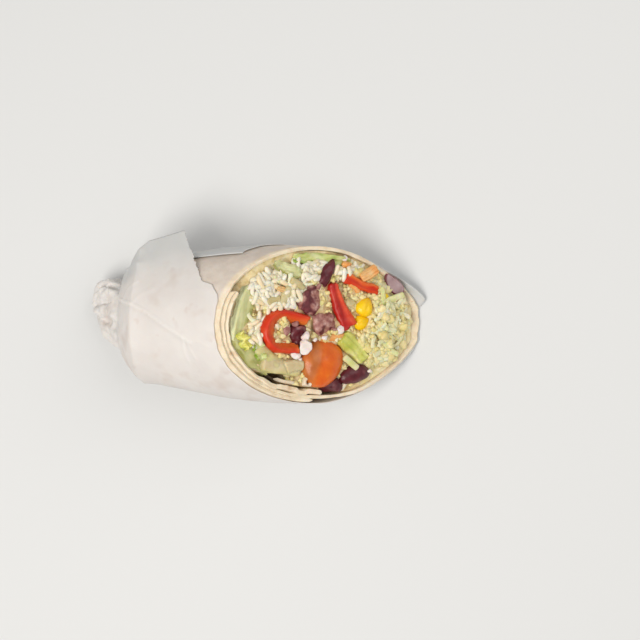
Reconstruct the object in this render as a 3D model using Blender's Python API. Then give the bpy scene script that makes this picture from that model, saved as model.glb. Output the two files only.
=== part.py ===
"""One half of a big burrito, cut on the slant, lying on its side in its sheet of thin white paper.

The body runs along X: the gathered paper tail is at -X, and the slanted cut faces +X and up.
Z is up and the origin is the middle of the underside. Lengths below are in millimetres.

The cut face has its own frame, used for everything that lies in it: u runs down the slope from
the upper lip to the lower lip, v runs across it, the same way as Y, and h stands out of it.
"""

import math
import random

import bmesh
import bpy
import numpy as np
from mathutils import Vector, noise
from mathutils.bvhtree import BVHTree

MM = 0.001

# ---- driving dimensions -------------------------------------------------------------------
SHOULDER_X = 15.0           # where the tapered end meets the body
BODY_X = (SHOULDER_X, 60.0, 84.0, 112.0, 132.0, 150.0)  # the body's sides run straight between these
HALF_WIDTHS = (30.2, 36.3, 38.0, 37.3, 32.9, 25.8)      # it widens, then narrows again to the lower lip
HALF_HEIGHTS = (25.5, 33.3, 33.5, 33.5, 33.5, 33.5)     # low at the shoulder, it rises to the upper lip
END_HALF_WIDTH = 16.0       # half the width where the paper tail begins
END_HALF_HEIGHT = 11.0
END_CENTRE_Z = 16.0         # the tapered end droops towards the table
FLAT_DEPTH = 1.2            # how far the underside is pressed flat
SECTION_POWER = 2.04        # 2 is an ellipse, more is squarer
CUT_ANGLE = math.radians(37.2)
UPPER_LIP_X = 60.7
UPPER_LIP_Z = 66.2

PAPER = 0.4                 # wall of the paper
TORTILLA = 1.2              # thickness of the flatbread
GAP = 0.3                   # between pieces that touch
ROOM = GAP + 0.17           # between pieces in the cut face
LAYER = TORTILLA + GAP      # from one rolled layer to the next
SKIN = PAPER + GAP          # depth of the flatbread's outer face under the paper's outer face
RIM_RECESS = 3.0            # how far the filling stands back from the rim, along X
ROW_STEP = 0.8              # least length along X from one row of points to the next
GRAIN_LENGTH = 6.6
GRAIN_WIDTH = 2.6
GRAIN_SPACING = 4.3
GRAIN_RISE = 0.45           # how far a grain's middle stands over the core's face

LOWER_LIP_X = UPPER_LIP_X + UPPER_LIP_Z / math.tan(CUT_ANGLE)
CUT_CENTRE = np.array([(UPPER_LIP_X + LOWER_LIP_X) / 2, 0.0, UPPER_LIP_Z / 2])
U_AXIS = np.array([math.cos(CUT_ANGLE), 0.0, -math.sin(CUT_ANGLE)])
V_AXIS = np.array([0.0, 1.0, 0.0])
H_AXIS = np.array([math.sin(CUT_ANGLE), 0.0, math.cos(CUT_ANGLE)])

# Turns round the body, in degrees: 0 is the top, 90 the -Y side, 180 the underside.
# Pieces that lie on each other have their points at the same turns, TURN_STEP apart from FLAP_TURN on.
TURN_STEP = 10.0
WALL_COLUMNS = 36
FOLD_TURN = -25.0           # the flatbread's inner end is folded back here
INNER_END_TURN = 88.0
STEP_OUT_TURN = 85.0        # from here the first layer steps out to become the only one
STEP_OUT_END_TURN = 115.0
OUTER_END_TURN = 445.0      # the outer layer ends one turn further
WAVE_TURN = 45.0            # the folded inner end is wavy from here on
WAVES = 3
WAVE_HEIGHT = 2.2

FLAP_TURN = -35.0           # the paper leaves the body here and runs on straight
FLAP_TIP_X = 37.5
FLAP_REACH = {1.5: 12.0, 9.0: 14.0, 18.7: 24.4, FLAP_TIP_X: 29.0}  # how far it runs on, at each x
FLAP_SHARES = (1.0, 0.67, 0.34)
FLAP_WIDTH_TURN = 31.0      # how much of the body the flap would cover if it lay on it
PAPER_SHORT = 1.2           # how far the paper ends behind the cut, along X
PAPER_END_TURN = 295.0      # its other end, on the +Y side, stands a little off the flatbread
PAPER_END_X = 70.0          # how far along X the paper reaches there
LOOSE_TURN = math.radians(205)
LOOSE_EDGE = 0.7
# Half the width, half the height, centre y and centre z of the paper tail at each x.
TAIL = {
    -16.2: (5.5, 2.4, 3.2, 9.0),
    -13.6: (12.0, 5.8, 3.2, 9.6),
    -9.0: (15.2, 8.2, 3.0, 11.0),
    -4.0: (17.2, 9.4, 2.8, 13.6),
}
TAIL_SLANT = 0.2            # how far along X the tail's +Y side reaches past its middle, for each mm of y
PLEATS = 9
PLEAT_DEPTH = 0.13          # as a share of the tail's half width
END_ROWS_X = (1.5, 4.5, 9.0, SHOULDER_X)

# Base colour and roughness of each material.
FINISHES = {
    "paper": ((0.86, 0.85, 0.83), 0.55),
    "flatbread": ((0.86, 0.76, 0.60), 0.75),
    "rice": ((0.84, 0.79, 0.58), 0.60),
    "red_pepper": ((0.72, 0.06, 0.02), 0.30),
    "tomato": ((0.78, 0.20, 0.03), 0.25),
    "bean": ((0.12, 0.01, 0.02), 0.35),
    "bean_flesh": ((0.36, 0.18, 0.19), 0.60),
    "corn": ((0.93, 0.62, 0.02), 0.35),
    "lettuce": ((0.58, 0.68, 0.24), 0.45),
    "onion": ((0.80, 0.74, 0.56), 0.35),
    "cheese": ((0.88, 0.82, 0.74), 0.50),
    "carrot": ((0.80, 0.34, 0.06), 0.45),
}


def smooth(t):
    """0 below 0, 1 above 1, and an S-curve between."""
    t = np.clip(t, 0.0, 1.0)
    return t * t * (3 - 2 * t)


def window(value, start, full, last, end):
    """Rises from start to full, stays at 1, and falls from last to end."""
    return smooth((value - start) / (full - start)) * smooth((end - value) / (end - last))


# ---- the body's outline -------------------------------------------------------------------
def half_sizes(x):
    """Half the width, half the height and the centre height of the body's outline at x."""
    taper = (1 - np.clip(1 - x / SHOULDER_X, 0.0, 1.0) ** 1.15) ** 0.9
    width = np.interp(x, BODY_X, HALF_WIDTHS)
    height = np.interp(x, BODY_X, HALF_HEIGHTS)
    centre = height - FLAT_DEPTH
    return (
        END_HALF_WIDTH + (width - END_HALF_WIDTH) * taper,
        END_HALF_HEIGHT + (height - END_HALF_HEIGHT) * taper,
        END_CENTRE_Z + (centre - END_CENTRE_Z) * taper,
    )


def oval(turn, width, height):
    """(y, z) at that turn of a slightly squarish oval of those half sizes."""
    s, c = np.sin(turn), np.cos(turn)
    y = -width * np.sign(s) * np.abs(s) ** (2 / SECTION_POWER)
    z = height * np.sign(c) * np.abs(c) ** (2 / SECTION_POWER)
    return y, z


def outline(x, turn):
    """(y, z) of the body's outline, pressed flat where it would reach under the table."""
    width, height, centre = half_sizes(x)
    y, z = oval(turn, width, height)
    return y, np.maximum(z + centre, 0.0)


def wall_point(x, turn, depth):
    """(y, z) at x, that depth inside the outline, measured square to it."""
    step = 0.02
    y, z = outline(x, turn)
    after, before = outline(x, turn + step), outline(x, turn - step)
    along_y, along_z = after[0] - before[0], after[1] - before[1]
    size = np.maximum(np.hypot(along_y, along_z), 1e-9)
    return y - depth * along_z / size, z + depth * along_y / size


def cut_x(z):
    """Where the slanted cut crosses the height z."""
    return UPPER_LIP_X + (UPPER_LIP_Z - z) / math.tan(CUT_ANGLE)


def settle_on_cut(section, count):
    """x for each of count points, so that section(x) gives a point on the slanted cut."""
    x = np.full(count, CUT_CENTRE[0])
    for _ in range(24):
        x = (x + cut_x(section(x)[1])) / 2
    return cut_x(section(x)[1])


def rows_to(end_x):
    """The x of each row from the shoulder to end_x, with rows where the body's sides bend."""
    bends = BODY_X[1:-1]
    return [
        np.minimum(bend_x, end_x - ROW_STEP * (len(bends) - i)) for i, bend_x in enumerate(bends)
    ] + [end_x]


# ---- from points to objects ---------------------------------------------------------------
def material(finish):
    colour, roughness = FINISHES[finish]
    made = bpy.data.materials.get(finish) or bpy.data.materials.new(finish)
    made.use_nodes = True
    made.diffuse_color = (*colour, 1.0)
    shader = made.node_tree.nodes["Principled BSDF"]
    shader.inputs["Base Color"].default_value = (*colour, 1.0)
    shader.inputs["Roughness"].default_value = roughness
    return made


def add_object(name, points, faces, finish):
    """An object from points in millimetres, in the body's own x, with its faces turned outwards."""
    mesh = bpy.data.meshes.new(name)
    mesh.from_pydata((np.asarray(points, float) * MM).tolist(), [], [list(f) for f in faces])
    work = bmesh.new()
    work.from_mesh(mesh)
    bmesh.ops.triangulate(work, faces=work.faces[:], quad_method="FIXED")
    bmesh.ops.recalc_face_normals(work, faces=work.faces[:])
    work.to_mesh(mesh)
    work.free()
    mesh.materials.append(material(finish))
    obj = bpy.data.objects.new(name, mesh)
    bpy.context.scene.collection.objects.link(obj)
    return obj


def loop_faces(rows, columns):
    """Quads between rows of points, each row a closed loop."""
    return [
        (r * columns + c, r * columns + (c + 1) % columns,
         (r + 1) * columns + (c + 1) % columns, (r + 1) * columns + c)
        for r in range(rows - 1)
        for c in range(columns)
    ]


def fan(row_start, columns, tip):
    """Triangles from a closed loop of points to one tip."""
    return [(row_start + c, row_start + (c + 1) % columns, tip) for c in range(columns)]


def combine(obj, others, operation):
    """Applies one exact Boolean of obj with all the others, then removes the others."""
    group = bpy.data.collections.new("operands")
    for other in others:
        bpy.context.scene.collection.objects.unlink(other)
        group.objects.link(other)
    modifier = obj.modifiers.new(operation, "BOOLEAN")
    modifier.operation = operation
    modifier.operand_type = "COLLECTION"
    modifier.collection = group
    modifier.solver = "EXACT"
    graph = bpy.context.evaluated_depsgraph_get()
    made = bpy.data.meshes.new_from_object(obj.evaluated_get(graph))
    obj.modifiers.clear()
    obj.data = made
    for other in others:
        bpy.data.objects.remove(other)
    bpy.data.collections.remove(group)


def keep_largest_body(obj):
    """Drops loose scraps, keeping the connected body that holds the most."""
    work = bmesh.new()
    work.from_mesh(obj.data)
    bmesh.ops.remove_doubles(work, verts=work.verts[:], dist=0.0005 * MM)
    bmesh.ops.triangulate(work, faces=work.faces[:])
    left, bodies = set(work.faces), []
    while left:
        front = [left.pop()]
        body = list(front)
        while front:
            for edge in front.pop().edges:
                for face in edge.link_faces:
                    if face in left:
                        left.remove(face)
                        front.append(face)
                        body.append(face)
        bodies.append(body)

    def volume(body):
        return sum(
            f.verts[0].co.dot(f.verts[1].co.cross(f.verts[2].co)) for f in body
        )

    bodies.sort(key=volume)
    scraps = [face for body in bodies[:-1] for face in body]
    bmesh.ops.delete(work, geom=scraps, context="FACES")
    loose = [v for v in work.verts if not v.link_faces]
    bmesh.ops.delete(work, geom=loose, context="VERTS")
    work.to_mesh(obj.data)
    work.free()


def finish_object(obj):
    obj.data.shade_smooth()
    obj.data.set_sharp_from_angle(angle=math.radians(40))


# ---- flatbread ----------------------------------------------------------------------------
def flatbread_centreline():
    """(turn in radians, depth) along the middle of the rolled sheet, from its inner end to its outer end.
    The inner end lies folded back on the first layer, so that side of the roll has three layers."""
    def span(start, end, step):
        return np.linspace(start, end, max(2, round(abs(end - start) / step) + 1))

    wavy = span(INNER_END_TURN, WAVE_TURN, (INNER_END_TURN - WAVE_TURN) / WAVES / 4)
    waves_done = WAVES * (wavy - WAVE_TURN) / (INNER_END_TURN - WAVE_TURN)
    wave = WAVE_HEIGHT / 2 * (1 - np.cos(2 * math.pi * waves_done))
    inner = span(WAVE_TURN - TURN_STEP, FOLD_TURN, TURN_STEP)
    bend = np.radians([36, 72, 108, 144])
    bend_turn = FOLD_TURN - np.degrees(np.sin(bend) * LAYER / 2 / HALF_HEIGHTS[0])
    first = span(FOLD_TURN, STEP_OUT_TURN, TURN_STEP)
    step_out = span(STEP_OUT_TURN + TURN_STEP, STEP_OUT_END_TURN, TURN_STEP)
    outer = span(STEP_OUT_END_TURN + TURN_STEP, OUTER_END_TURN, TURN_STEP)
    turns = np.concatenate([wavy, inner, bend_turn, first, step_out, outer])
    layers = np.concatenate([
        np.full(len(wavy), 2.0),
        np.full(len(inner), 2.0),
        1.5 + 0.5 * np.cos(bend),
        np.full(len(first), 1.0),
        1 - smooth((step_out - STEP_OUT_TURN) / (STEP_OUT_END_TURN - STEP_OUT_TURN)),
        np.zeros(len(outer)),
    ])
    depths = SKIN + TORTILLA / 2 + LAYER * layers
    depths[: len(wavy)] += wave
    return np.radians(turns), depths


def make_flatbread():
    turns, depths = flatbread_centreline()
    count = len(turns)

    def section(x):
        """Both faces of the sheet at x, as one closed loop: out along one face, back along the other."""
        y, z = wall_point(x[:count], turns, depths)
        along_y, along_z = np.gradient(y), np.gradient(z)
        size = np.hypot(along_y, along_z)
        side_y, side_z = along_z / size * TORTILLA / 2, -along_y / size * TORTILLA / 2
        return (
            np.concatenate([y + side_y, (y - side_y)[::-1]]),
            np.concatenate([z + side_z, (z - side_z)[::-1]]),
        )

    x_cut = settle_on_cut(section, 2 * count)
    rows = [np.full(2 * count, x) for x in END_ROWS_X] + rows_to(x_cut)
    points = [np.column_stack([x, *section(x)]) for x in rows]
    faces = loop_faces(len(rows), 2 * count)
    for row in (0, len(rows) - 1):
        at = row * 2 * count
        faces += [
            (at + i, at + i + 1, at + 2 * count - 2 - i, at + 2 * count - 1 - i)
            for i in range(count - 1)
        ]
    return add_object("tortilla", np.vstack(points), faces, "flatbread")


# ---- paper --------------------------------------------------------------------------------
def paper_point(x, share, turn):
    """(y, z) of the paper's outer face. share is 0 on the body and 1 at the flap's free edge."""
    loose = LOOSE_EDGE * smooth((turn - LOOSE_TURN) / math.radians(30))
    y, z = wall_point(x, turn, -loose)
    lift_turn, step = math.radians(FLAP_TURN), 0.02
    base_y, base_z = outline(x, lift_turn)
    before_y, before_z = outline(x, lift_turn + step)
    size = np.hypot(base_y - before_y, base_z - before_z)
    length = np.interp(x, list(FLAP_REACH), list(FLAP_REACH.values())) * share
    free_y = base_y + (base_y - before_y) / size * length
    free_z = base_z + (base_z - before_z) / size * length
    lifted = np.where(share > 0, smooth((x + 6) / 10), 0.0)
    return y + (free_y - y) * lifted, z + (free_z - z) * lifted


def paper_edge_x(turn):
    """How far along X the paper reaches at each turn on the body, in degrees."""
    reach = settle_on_cut(lambda x: outline(x, np.radians(turn)), len(turn)) - PAPER_SHORT
    torn = np.interp(turn, (FLAP_TURN, -25, -15), (54.5, 60.5, 62.4))
    reach = np.where(turn < -12, np.minimum(torn, reach), reach)
    reach += 6.0 * window(turn, 194, 208, 216, 236)
    far_end = np.interp(turn, (236, 250, 262, 272, 286, PAPER_END_TURN), (0.0, 0.35, 0.57, 0.65, 0.81, 1.0))
    return reach + (PAPER_END_X - reach) * far_end


def make_paper():
    flap_shares = np.array(FLAP_SHARES)
    body_turns = np.arange(FLAP_TURN, PAPER_END_TURN + 0.1, TURN_STEP)
    shares = np.concatenate([flap_shares, np.zeros(len(body_turns))])
    turns = np.concatenate([FLAP_TURN - FLAP_WIDTH_TURN * flap_shares, body_turns])
    body_edge = paper_edge_x(body_turns)
    flap_edge = FLAP_TIP_X + (1 - flap_shares) * (body_edge[0] - FLAP_TIP_X)
    edge = np.concatenate([flap_edge, body_edge])
    columns = len(turns)
    angle = np.radians(turns)
    grid = []
    for x, (width, height, centre_y, centre_z) in TAIL.items():
        y, z = oval(angle, width, height)
        pleat = 1 + PLEAT_DEPTH * np.cos(PLEATS * angle) * smooth((width - 2) / 8)
        grid.append(np.column_stack([
            x - TAIL_SLANT * y - 0.9 * np.cos(PLEATS * angle + 1.0),
            y * pleat + centre_y,
            np.maximum(z * pleat + centre_z, 0.0),
        ]))
    for x in [np.full(columns, x) for x in END_ROWS_X] + rows_to(edge):
        y, z = paper_point(x, shares, angle)
        grid.append(np.column_stack([x, y, z]))
    outer = np.array(grid)
    around = np.gradient(outer, axis=1)
    inward = np.stack([0 * around[..., 0], -around[..., 2], around[..., 1]], axis=2)
    inner = outer + inward / np.linalg.norm(inward, axis=2, keepdims=True) * PAPER
    rows = len(outer)
    tip_x = min(TAIL)
    tip = np.array([tip_x - 0.6, TAIL[tip_x][2], TAIL[tip_x][3]])
    points = np.vstack([
        outer.reshape(-1, 3), inner.reshape(-1, 3), [tip], [tip + [PAPER, 0.0, 0.0]],
    ])
    offset = rows * columns

    def at(r, c):
        return r * columns + c

    faces = []
    for r in range(rows - 1):
        for c in range(columns - 1):
            a, b, d, e = at(r, c), at(r, c + 1), at(r + 1, c + 1), at(r + 1, c)
            faces += [(a, b, d), (a, d, e)]
            faces += [(offset + a, offset + d, offset + b), (offset + a, offset + e, offset + d)]
    tip_outer, tip_inner = 2 * offset, 2 * offset + 1
    border = [at(0, 0)] + [at(r, 0) for r in range(1, rows)]
    border += [at(rows - 1, c) for c in range(1, columns)]
    border += [at(r, columns - 1) for r in range(rows - 2, -1, -1)]
    for a, b in zip(border, border[1:]):
        faces.append((a, b, offset + b, offset + a))
    for c in range(columns - 1):
        faces.append((tip_outer, at(0, c), at(0, c + 1)))
        faces.append((tip_inner, offset + at(0, c + 1), offset + at(0, c)))
    for end in (at(0, 0), at(0, columns - 1)):
        faces.append((tip_outer, end, offset + end, tip_inner))
    return add_object("paper_wrap", points, faces, "paper")


# ---- the filling's bare core --------------------------------------------------------------
def filling_depth(turn):
    """How deep under the outline the filling begins, in millimetres, for a turn in degrees."""
    folded = window(turn, -50, -35, 90, 112)
    wavy = window(turn, 38, 50, 86, 96)
    return SKIN + TORTILLA + 1.5 * GAP + 2 * LAYER * folded + WAVE_HEIGHT * wavy


def face_height(u, v):
    """The bare core's relief over the cut: a low mound of clumps, highest on the lower right."""
    mound = 1.8 - 3.2 * ((u / 46) ** 2 + (v / 34) ** 2)
    right = 3.6 * math.exp(-((u - 34) / 12) ** 2 - ((v + 1) / 17) ** 2)
    hollow = -5.0 * math.exp(-((u + 20) / 8) ** 2 - ((v + 28) / 3.5) ** 2)
    clumps = 1.7 * noise.noise(Vector((u / 6.5, v / 6.5, 1.7)))
    crumbs = 1.1 * noise.noise(Vector((u / 3.2, v / 3.2, 8.3)))
    return mound + right + hollow + clumps + crumbs


def to_face(points):
    """(u, v, h) of points given in the body's frame."""
    away = np.asarray(points) - CUT_CENTRE
    return np.stack([away @ U_AXIS, away @ V_AXIS, away @ H_AXIS], axis=-1)


def from_face(points):
    points = np.asarray(points)
    return CUT_CENTRE + points[..., :1] * U_AXIS + points[..., 1:2] * V_AXIS + points[..., 2:] * H_AXIS


def filling_wall(recess):
    """The rows of points down the filling's side, from the tail end to recess behind the cut."""
    turn = FLAP_TURN + TURN_STEP * np.arange(WALL_COLUMNS)
    signed = np.where(turn > 300, turn - 360, turn)
    depth = filling_depth(signed)
    angle = np.radians(turn)

    def section(x):
        return wall_point(x, angle, depth)

    end = settle_on_cut(section, WALL_COLUMNS) - recess
    rows = [np.full(WALL_COLUMNS, x) for x in END_ROWS_X[2:]] + rows_to(end)
    return [np.column_stack([x, *section(x)]) for x in rows]


def closed_tube(rows):
    """Faces of a tube of wall rows, closed by a middle point at each end, the last two points."""
    faces = loop_faces(rows, WALL_COLUMNS) + fan(0, WALL_COLUMNS, rows * WALL_COLUMNS)
    return faces + fan((rows - 1) * WALL_COLUMNS, WALL_COLUMNS, rows * WALL_COLUMNS + 1)


def make_core(rings=7):
    rows = filling_wall(RIM_RECESS)
    first = rows[0]
    middle = first.mean(axis=0)
    points = [middle + (first - middle) * [1, 0.5, 0.5] - [1.5, 0, 0], *rows]
    rim = to_face(rows[-1])
    for ring in range(rings - 1, 0, -1):
        share = ring / rings
        ring_points = rim * [share, share, 1.0]
        heights = np.array([face_height(u, v) for u, v, _ in ring_points])
        ring_points[:, 2] += (heights - rim[:, 2]) * (1 - share**5)
        points.append(from_face(ring_points))
    count = len(points)
    stacked = np.vstack([*points, [middle - [2.5, 0, 0]], from_face(np.array([[0, 0, face_height(0, 0)]]))])
    return add_object("filling", stacked, closed_tube(count), "rice")


def make_bore():
    """The inside of the flatbread, carried on past the cut: what any piece in the face must stay within."""
    rows = filling_wall(0.0)
    rows.append(rows[-1] + [40.0, 0.0, 0.0])
    count = len(rows)
    stacked = np.vstack([*rows, [rows[0].mean(axis=0)], [rows[-1].mean(axis=0)]])
    return add_object("bore", stacked, closed_tube(count), "rice")


# ---- pieces in the cut face ---------------------------------------------------------------
def blob(length, width, height, around=10, rings=6, shape=None):
    """A rounded lump along its own x. shape(points, lengthwise) may bend or taper it."""
    points = []
    for r in range(1, rings):
        lengthwise = -math.cos(math.pi * r / rings)
        radius = math.sin(math.pi * r / rings)
        for a in range(around):
            t = 2 * math.pi * a / around
            points.append((lengthwise, radius * math.cos(t), radius * math.sin(t)))
    points += [(-1.0, 0.0, 0.0), (1.0, 0.0, 0.0)]
    points = np.array(points)
    lengthwise = points[:, 0].copy()
    points = points * [length / 2, width / 2, height / 2]
    if shape:
        points = shape(points, lengthwise)
    faces = loop_faces(rings - 1, around)
    faces += fan(0, around, len(points) - 2)
    faces += fan((rings - 2) * around, around, len(points) - 1)
    return points, faces


def sweep(path, widths, heights, around=8, power=3.0, rise=None):
    """A strip along a flat path: widths lie in the face, heights stand out of it."""
    path, count = np.asarray(path, float), len(path)
    along = np.gradient(path, axis=0)
    along /= np.linalg.norm(along, axis=1, keepdims=True)
    side = np.column_stack([-along[:, 1], along[:, 0]])
    angle = 2 * math.pi * (np.arange(around) + 0.5) / around
    across = np.sign(np.cos(angle)) * np.abs(np.cos(angle)) ** (2 / power)
    upward = np.sign(np.sin(angle)) * np.abs(np.sin(angle)) ** (2 / power)
    lift = np.zeros(count) if rise is None else np.asarray(rise, float)
    rows = [
        np.column_stack([
            path[i, 0] + side[i, 0] * across * widths[i] / 2,
            path[i, 1] + side[i, 1] * across * widths[i] / 2,
            upward * heights[i] / 2 + lift[i],
        ])
        for i in range(count)
    ]
    ends = [rows[0].mean(axis=0), rows[-1].mean(axis=0)]
    faces = loop_faces(count, around) + fan(0, around, count * around)
    faces += fan((count - 1) * around, around, count * around + 1)
    return np.vstack([*rows, *ends]), faces


def kidney(points, lengthwise):
    points[:, 1] += 0.16 * (1 - lengthwise**2) * points[:, 0].max()
    return points


def split_bean(points, _):
    """A bean broken in two: its upper side is nearly flat."""
    points[:, 2] = np.where(points[:, 2] > 0, points[:, 2] * 0.35, points[:, 2])
    return points


def kernel(points, lengthwise):
    points[:, 1:] *= (1 - 0.3 * lengthwise)[:, None]
    return points


def wedge(points, lengthwise):
    """A quarter tomato seen from its skin, narrowing to one end."""
    points[:, 1] *= 1 - 0.22 * lengthwise
    points[:, 2] = np.where(points[:, 2] > 0, points[:, 2] * 0.9, points[:, 2])
    points[:, 1] = np.sign(points[:, 1]) * np.abs(points[:, 1]) ** 0.85 * 10.5**0.15
    return points


def chip(length, width, height):
    """A small diced piece: a six-sided lump with blunt ends."""
    return blob(length, width, height, around=6, rings=4)


def bar(length, width, height, bow=0.0, taper=0.0, stations=5):
    """A gently bowed strip along its own x, wider at its far end by taper."""
    t = np.linspace(-1, 1, stations)
    path = np.column_stack([t * length / 2, bow * (1 - t**2)])
    ends = 1 - 0.45 * np.abs(t) ** 6
    return sweep(path, width * (1 + taper * t) * ends, height * ends)


def pepper_curl():
    """The strip of pepper bent into a U: two arms joined by a bend."""
    radius, upper_arm, lower_arm = 7.6, 11.5, 9.5
    start, end = math.radians(78), math.radians(262)
    bend = np.linspace(start, end, 9)
    arc = np.column_stack([radius * np.cos(bend), radius * np.sin(bend)])
    upper = arc[0] + np.outer([1.0, 0.5], [math.sin(start), -math.cos(start)]) * upper_arm
    lower = arc[-1] + np.outer([0.5, 1.0], [-math.sin(end), math.cos(end)]) * lower_arm
    path = np.vstack([upper, arc, lower])
    share = np.linspace(-1, 1, len(path))
    ends = 1 - 0.35 * np.abs(share) ** 10
    return sweep(path, 5.8 * ends, 9.0 * ends)


def leaf(length, width, waves, height, seed, thickness=0.8, columns=7, rows=3):
    """A thin wavy leaf along its own x, with both faces split into triangles alike."""
    upper = []
    for r in range(rows):
        across = 2 * r / (rows - 1) - 1
        for c in range(columns):
            along = 2 * c / (columns - 1) - 1
            narrow = math.sqrt(max(0.0, 1 - 0.75 * along**2))
            ripple = math.sin(waves * along * 3 + seed) * (0.35 + abs(across))
            ripple += 0.6 * noise.noise(Vector((along * 2, across * 2, seed)))
            upper.append((along * length / 2, across * width / 2 * narrow, ripple * height / 2))
    upper = np.array(upper)
    points = np.vstack([upper, upper - [0, 0, thickness]])
    under = len(upper)
    faces = []
    for r in range(rows - 1):
        for c in range(columns - 1):
            a, b = r * columns + c, r * columns + c + 1
            d, e = b + columns, a + columns
            faces += [(a, b, d), (a, d, e)]
            faces += [(under + a, under + d, under + b), (under + a, under + e, under + d)]
    border = list(range(columns)) + [r * columns + columns - 1 for r in range(1, rows)]
    border += [(rows - 1) * columns + c for c in range(columns - 2, -1, -1)]
    border += [r * columns for r in range(rows - 2, 0, -1)]
    for a, b in zip(border, border[1:] + border[:1]):
        faces.append((a, b, under + b, under + a))
    return points, faces


def place(shape, u, v, h, turn, pitch=0.0, roll=0.0):
    """Turns a shape about h, tips its far end up by pitch and its side by roll, and puts it in the face."""
    points, faces = shape
    turn, pitch, roll = (math.radians(a) for a in (turn, pitch, roll))
    cr, sr, cp, sp, ct, st = (
        math.cos(roll), math.sin(roll), math.cos(pitch), math.sin(pitch), math.cos(turn), math.sin(turn),
    )
    about_x = np.array([[1, 0, 0], [0, cr, -sr], [0, sr, cr]])
    about_y = np.array([[cp, 0, -sp], [0, 1, 0], [sp, 0, cp]])
    about_h = np.array([[ct, -st, 0], [st, ct, 0], [0, 0, 1]])
    turned = points @ (about_h @ about_y @ about_x).T + [u, v, h]
    return from_face(turned), faces


def face_pieces():
    """(name, shape, finish, place) of each piece in the cut face, those that lie on top first."""
    return [
        ("pepper_curl", pepper_curl(), "red_pepper", (-20.6, -3.2, 1.2, 0)),
        ("pepper_strip_long", bar(23.5, 6.6, 5.0, bow=-0.9, taper=0.28), "red_pepper",
         (9.8, 9.0, 2.4, -67, 3)),
        ("pepper_strip_short", bar(18.5, 4.6, 4.0, bow=-1.0), "red_pepper", (20.6, 19.8, 2.2, -20)),
        ("tomato_wedge", blob(23.0, 22.0, 12.5, 12, 8, wedge), "tomato", (0.0, -18.7, 0.6, 75)),
        ("bean_whole", blob(16.5, 9.6, 8.6, shape=kidney), "bean", (18.2, -24.8, 0.4, 14)),
        ("bean_low", blob(12.5, 8.4, 7.4, shape=kidney), "bean", (6.2, -30.4, -0.6, 5)),
        ("bean_halved", blob(13.5, 8.0, 7.6, shape=split_bean), "bean_flesh", (38.8, 19.6, 1.2, -52)),
        ("bean_skin", blob(17.0, 6.2, 5.4), "bean", (2.4, 23.7, 1.4, 65)),
        ("bean_broken_upper", blob(16.5, 12.5, 8.6), "bean_flesh", (-7.2, 11.1, 1.4, 25)),
        ("bean_broken_middle", blob(15.5, 12.0, 8.8), "bean_flesh", (1.3, 0.6, 1.0, -41)),
        ("bean_in_curl", blob(12.5, 10.0, 8.0), "bean", (-11.5, -4.6, 0.2, -63)),
        ("corn_upper", blob(9.4, 8.6, 7.6, shape=kernel), "corn", (22.3, 8.3, 2.2, 67)),
        ("corn_lower", blob(8.4, 7.0, 6.6, shape=kernel), "corn", (21.1, 1.1, 1.2, 17)),
        ("corn_side", blob(6.2, 4.8, 5.0, shape=kernel), "corn", (34.0, 12.0, 1.0, -43)),
        ("lettuce_rib", bar(17.0, 8.4, 6.0, bow=0.8), "lettuce", (16.4, -11.6, 1.4, -45)),
        ("onion_chunk", bar(20.5, 10.5, 7.0, bow=1.2), "onion", (-19.4, -20.3, 0.2, -10)),
        ("onion_petal", bar(16.5, 7.0, 4.0, bow=-1.8), "onion", (-26.9, -13.4, 0.8, -41)),
        ("cheese_crumb_large", chip(7.4, 6.0, 3.8), "cheese", (-9.1, -10.3, 4.4, 57)),
        ("cheese_crumb_small", chip(4.4, 3.8, 3.4), "cheese", (-9.2, -5.4, 4.6, 17)),
        ("cheese_crumb_low", chip(4.8, 4.0, 3.4), "cheese", (-13.9, -13.9, 3.4, -33)),
        ("cheese_shred", bar(9.4, 3.2, 2.2), "cheese", (14.6, -18.3, 4.0, -38)),
        ("onion_shred", bar(15.0, 3.6, 2.6, bow=0.6), "onion", (36.3, 11.4, 3.4, 24)),
        ("carrot_chip", chip(4.8, 3.6, 3.2), "carrot", (12.6, 28.7, 2.0, 17)),
        ("carrot_flake", bar(10.0, 5.2, 3.0), "carrot", (24.4, 24.1, 2.4, 27)),
        ("carrot_sliver", bar(5.4, 2.8, 2.6), "carrot", (-20.7, 16.5, 2.0, -13)),
        ("lettuce_left", leaf(27, 10, 1.0, 3.0, 1.0), "lettuce", (-39.6, 5.4, 0.4, 81, 0, 12)),
        ("lettuce_low", leaf(25, 9, 1.2, 3.0, 2.2), "lettuce", (-36.2, -15.6, 0.0, -52, 0, 14)),
        ("lettuce_curled", leaf(9, 6, 2.2, 2.6, 3.1), "lettuce", (-39.6, -7.8, 2.6, -63)),
        ("lettuce_green", leaf(9, 6, 1.6, 2.6, 4.5), "lettuce", (-32.1, -12.4, 2.6, -73)),
        ("lettuce_top", leaf(30, 5.5, 1.4, 2.6, 5.2), "lettuce", (0.3, 31.0, 0.2, -4, 0, 14)),
        ("lettuce_pale", leaf(16, 6, 1.4, 2.2, 6.0), "lettuce", (-17.2, 26.0, 1.6, -21)),
    ]


def swollen(name, points, faces, by):
    """A hidden copy of a shape, grown by that much all round, to cut room for it in its neighbours."""
    cutter = add_object(name + "_room", points, faces, "rice")
    cutter.hide_render = True
    cutter.display_type = "WIRE"
    mesh = cutter.data
    for vertex, normal in zip(mesh.vertices, [v.normal.copy() for v in mesh.vertices]):
        vertex.co += normal * by * MM
    return cutter


def boxes_meet(first, second, gap):
    low = np.maximum(first.min(axis=0), second.min(axis=0)) - gap
    high = np.minimum(first.max(axis=0), second.max(axis=0)) + gap
    return bool((high > low).all())


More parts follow.
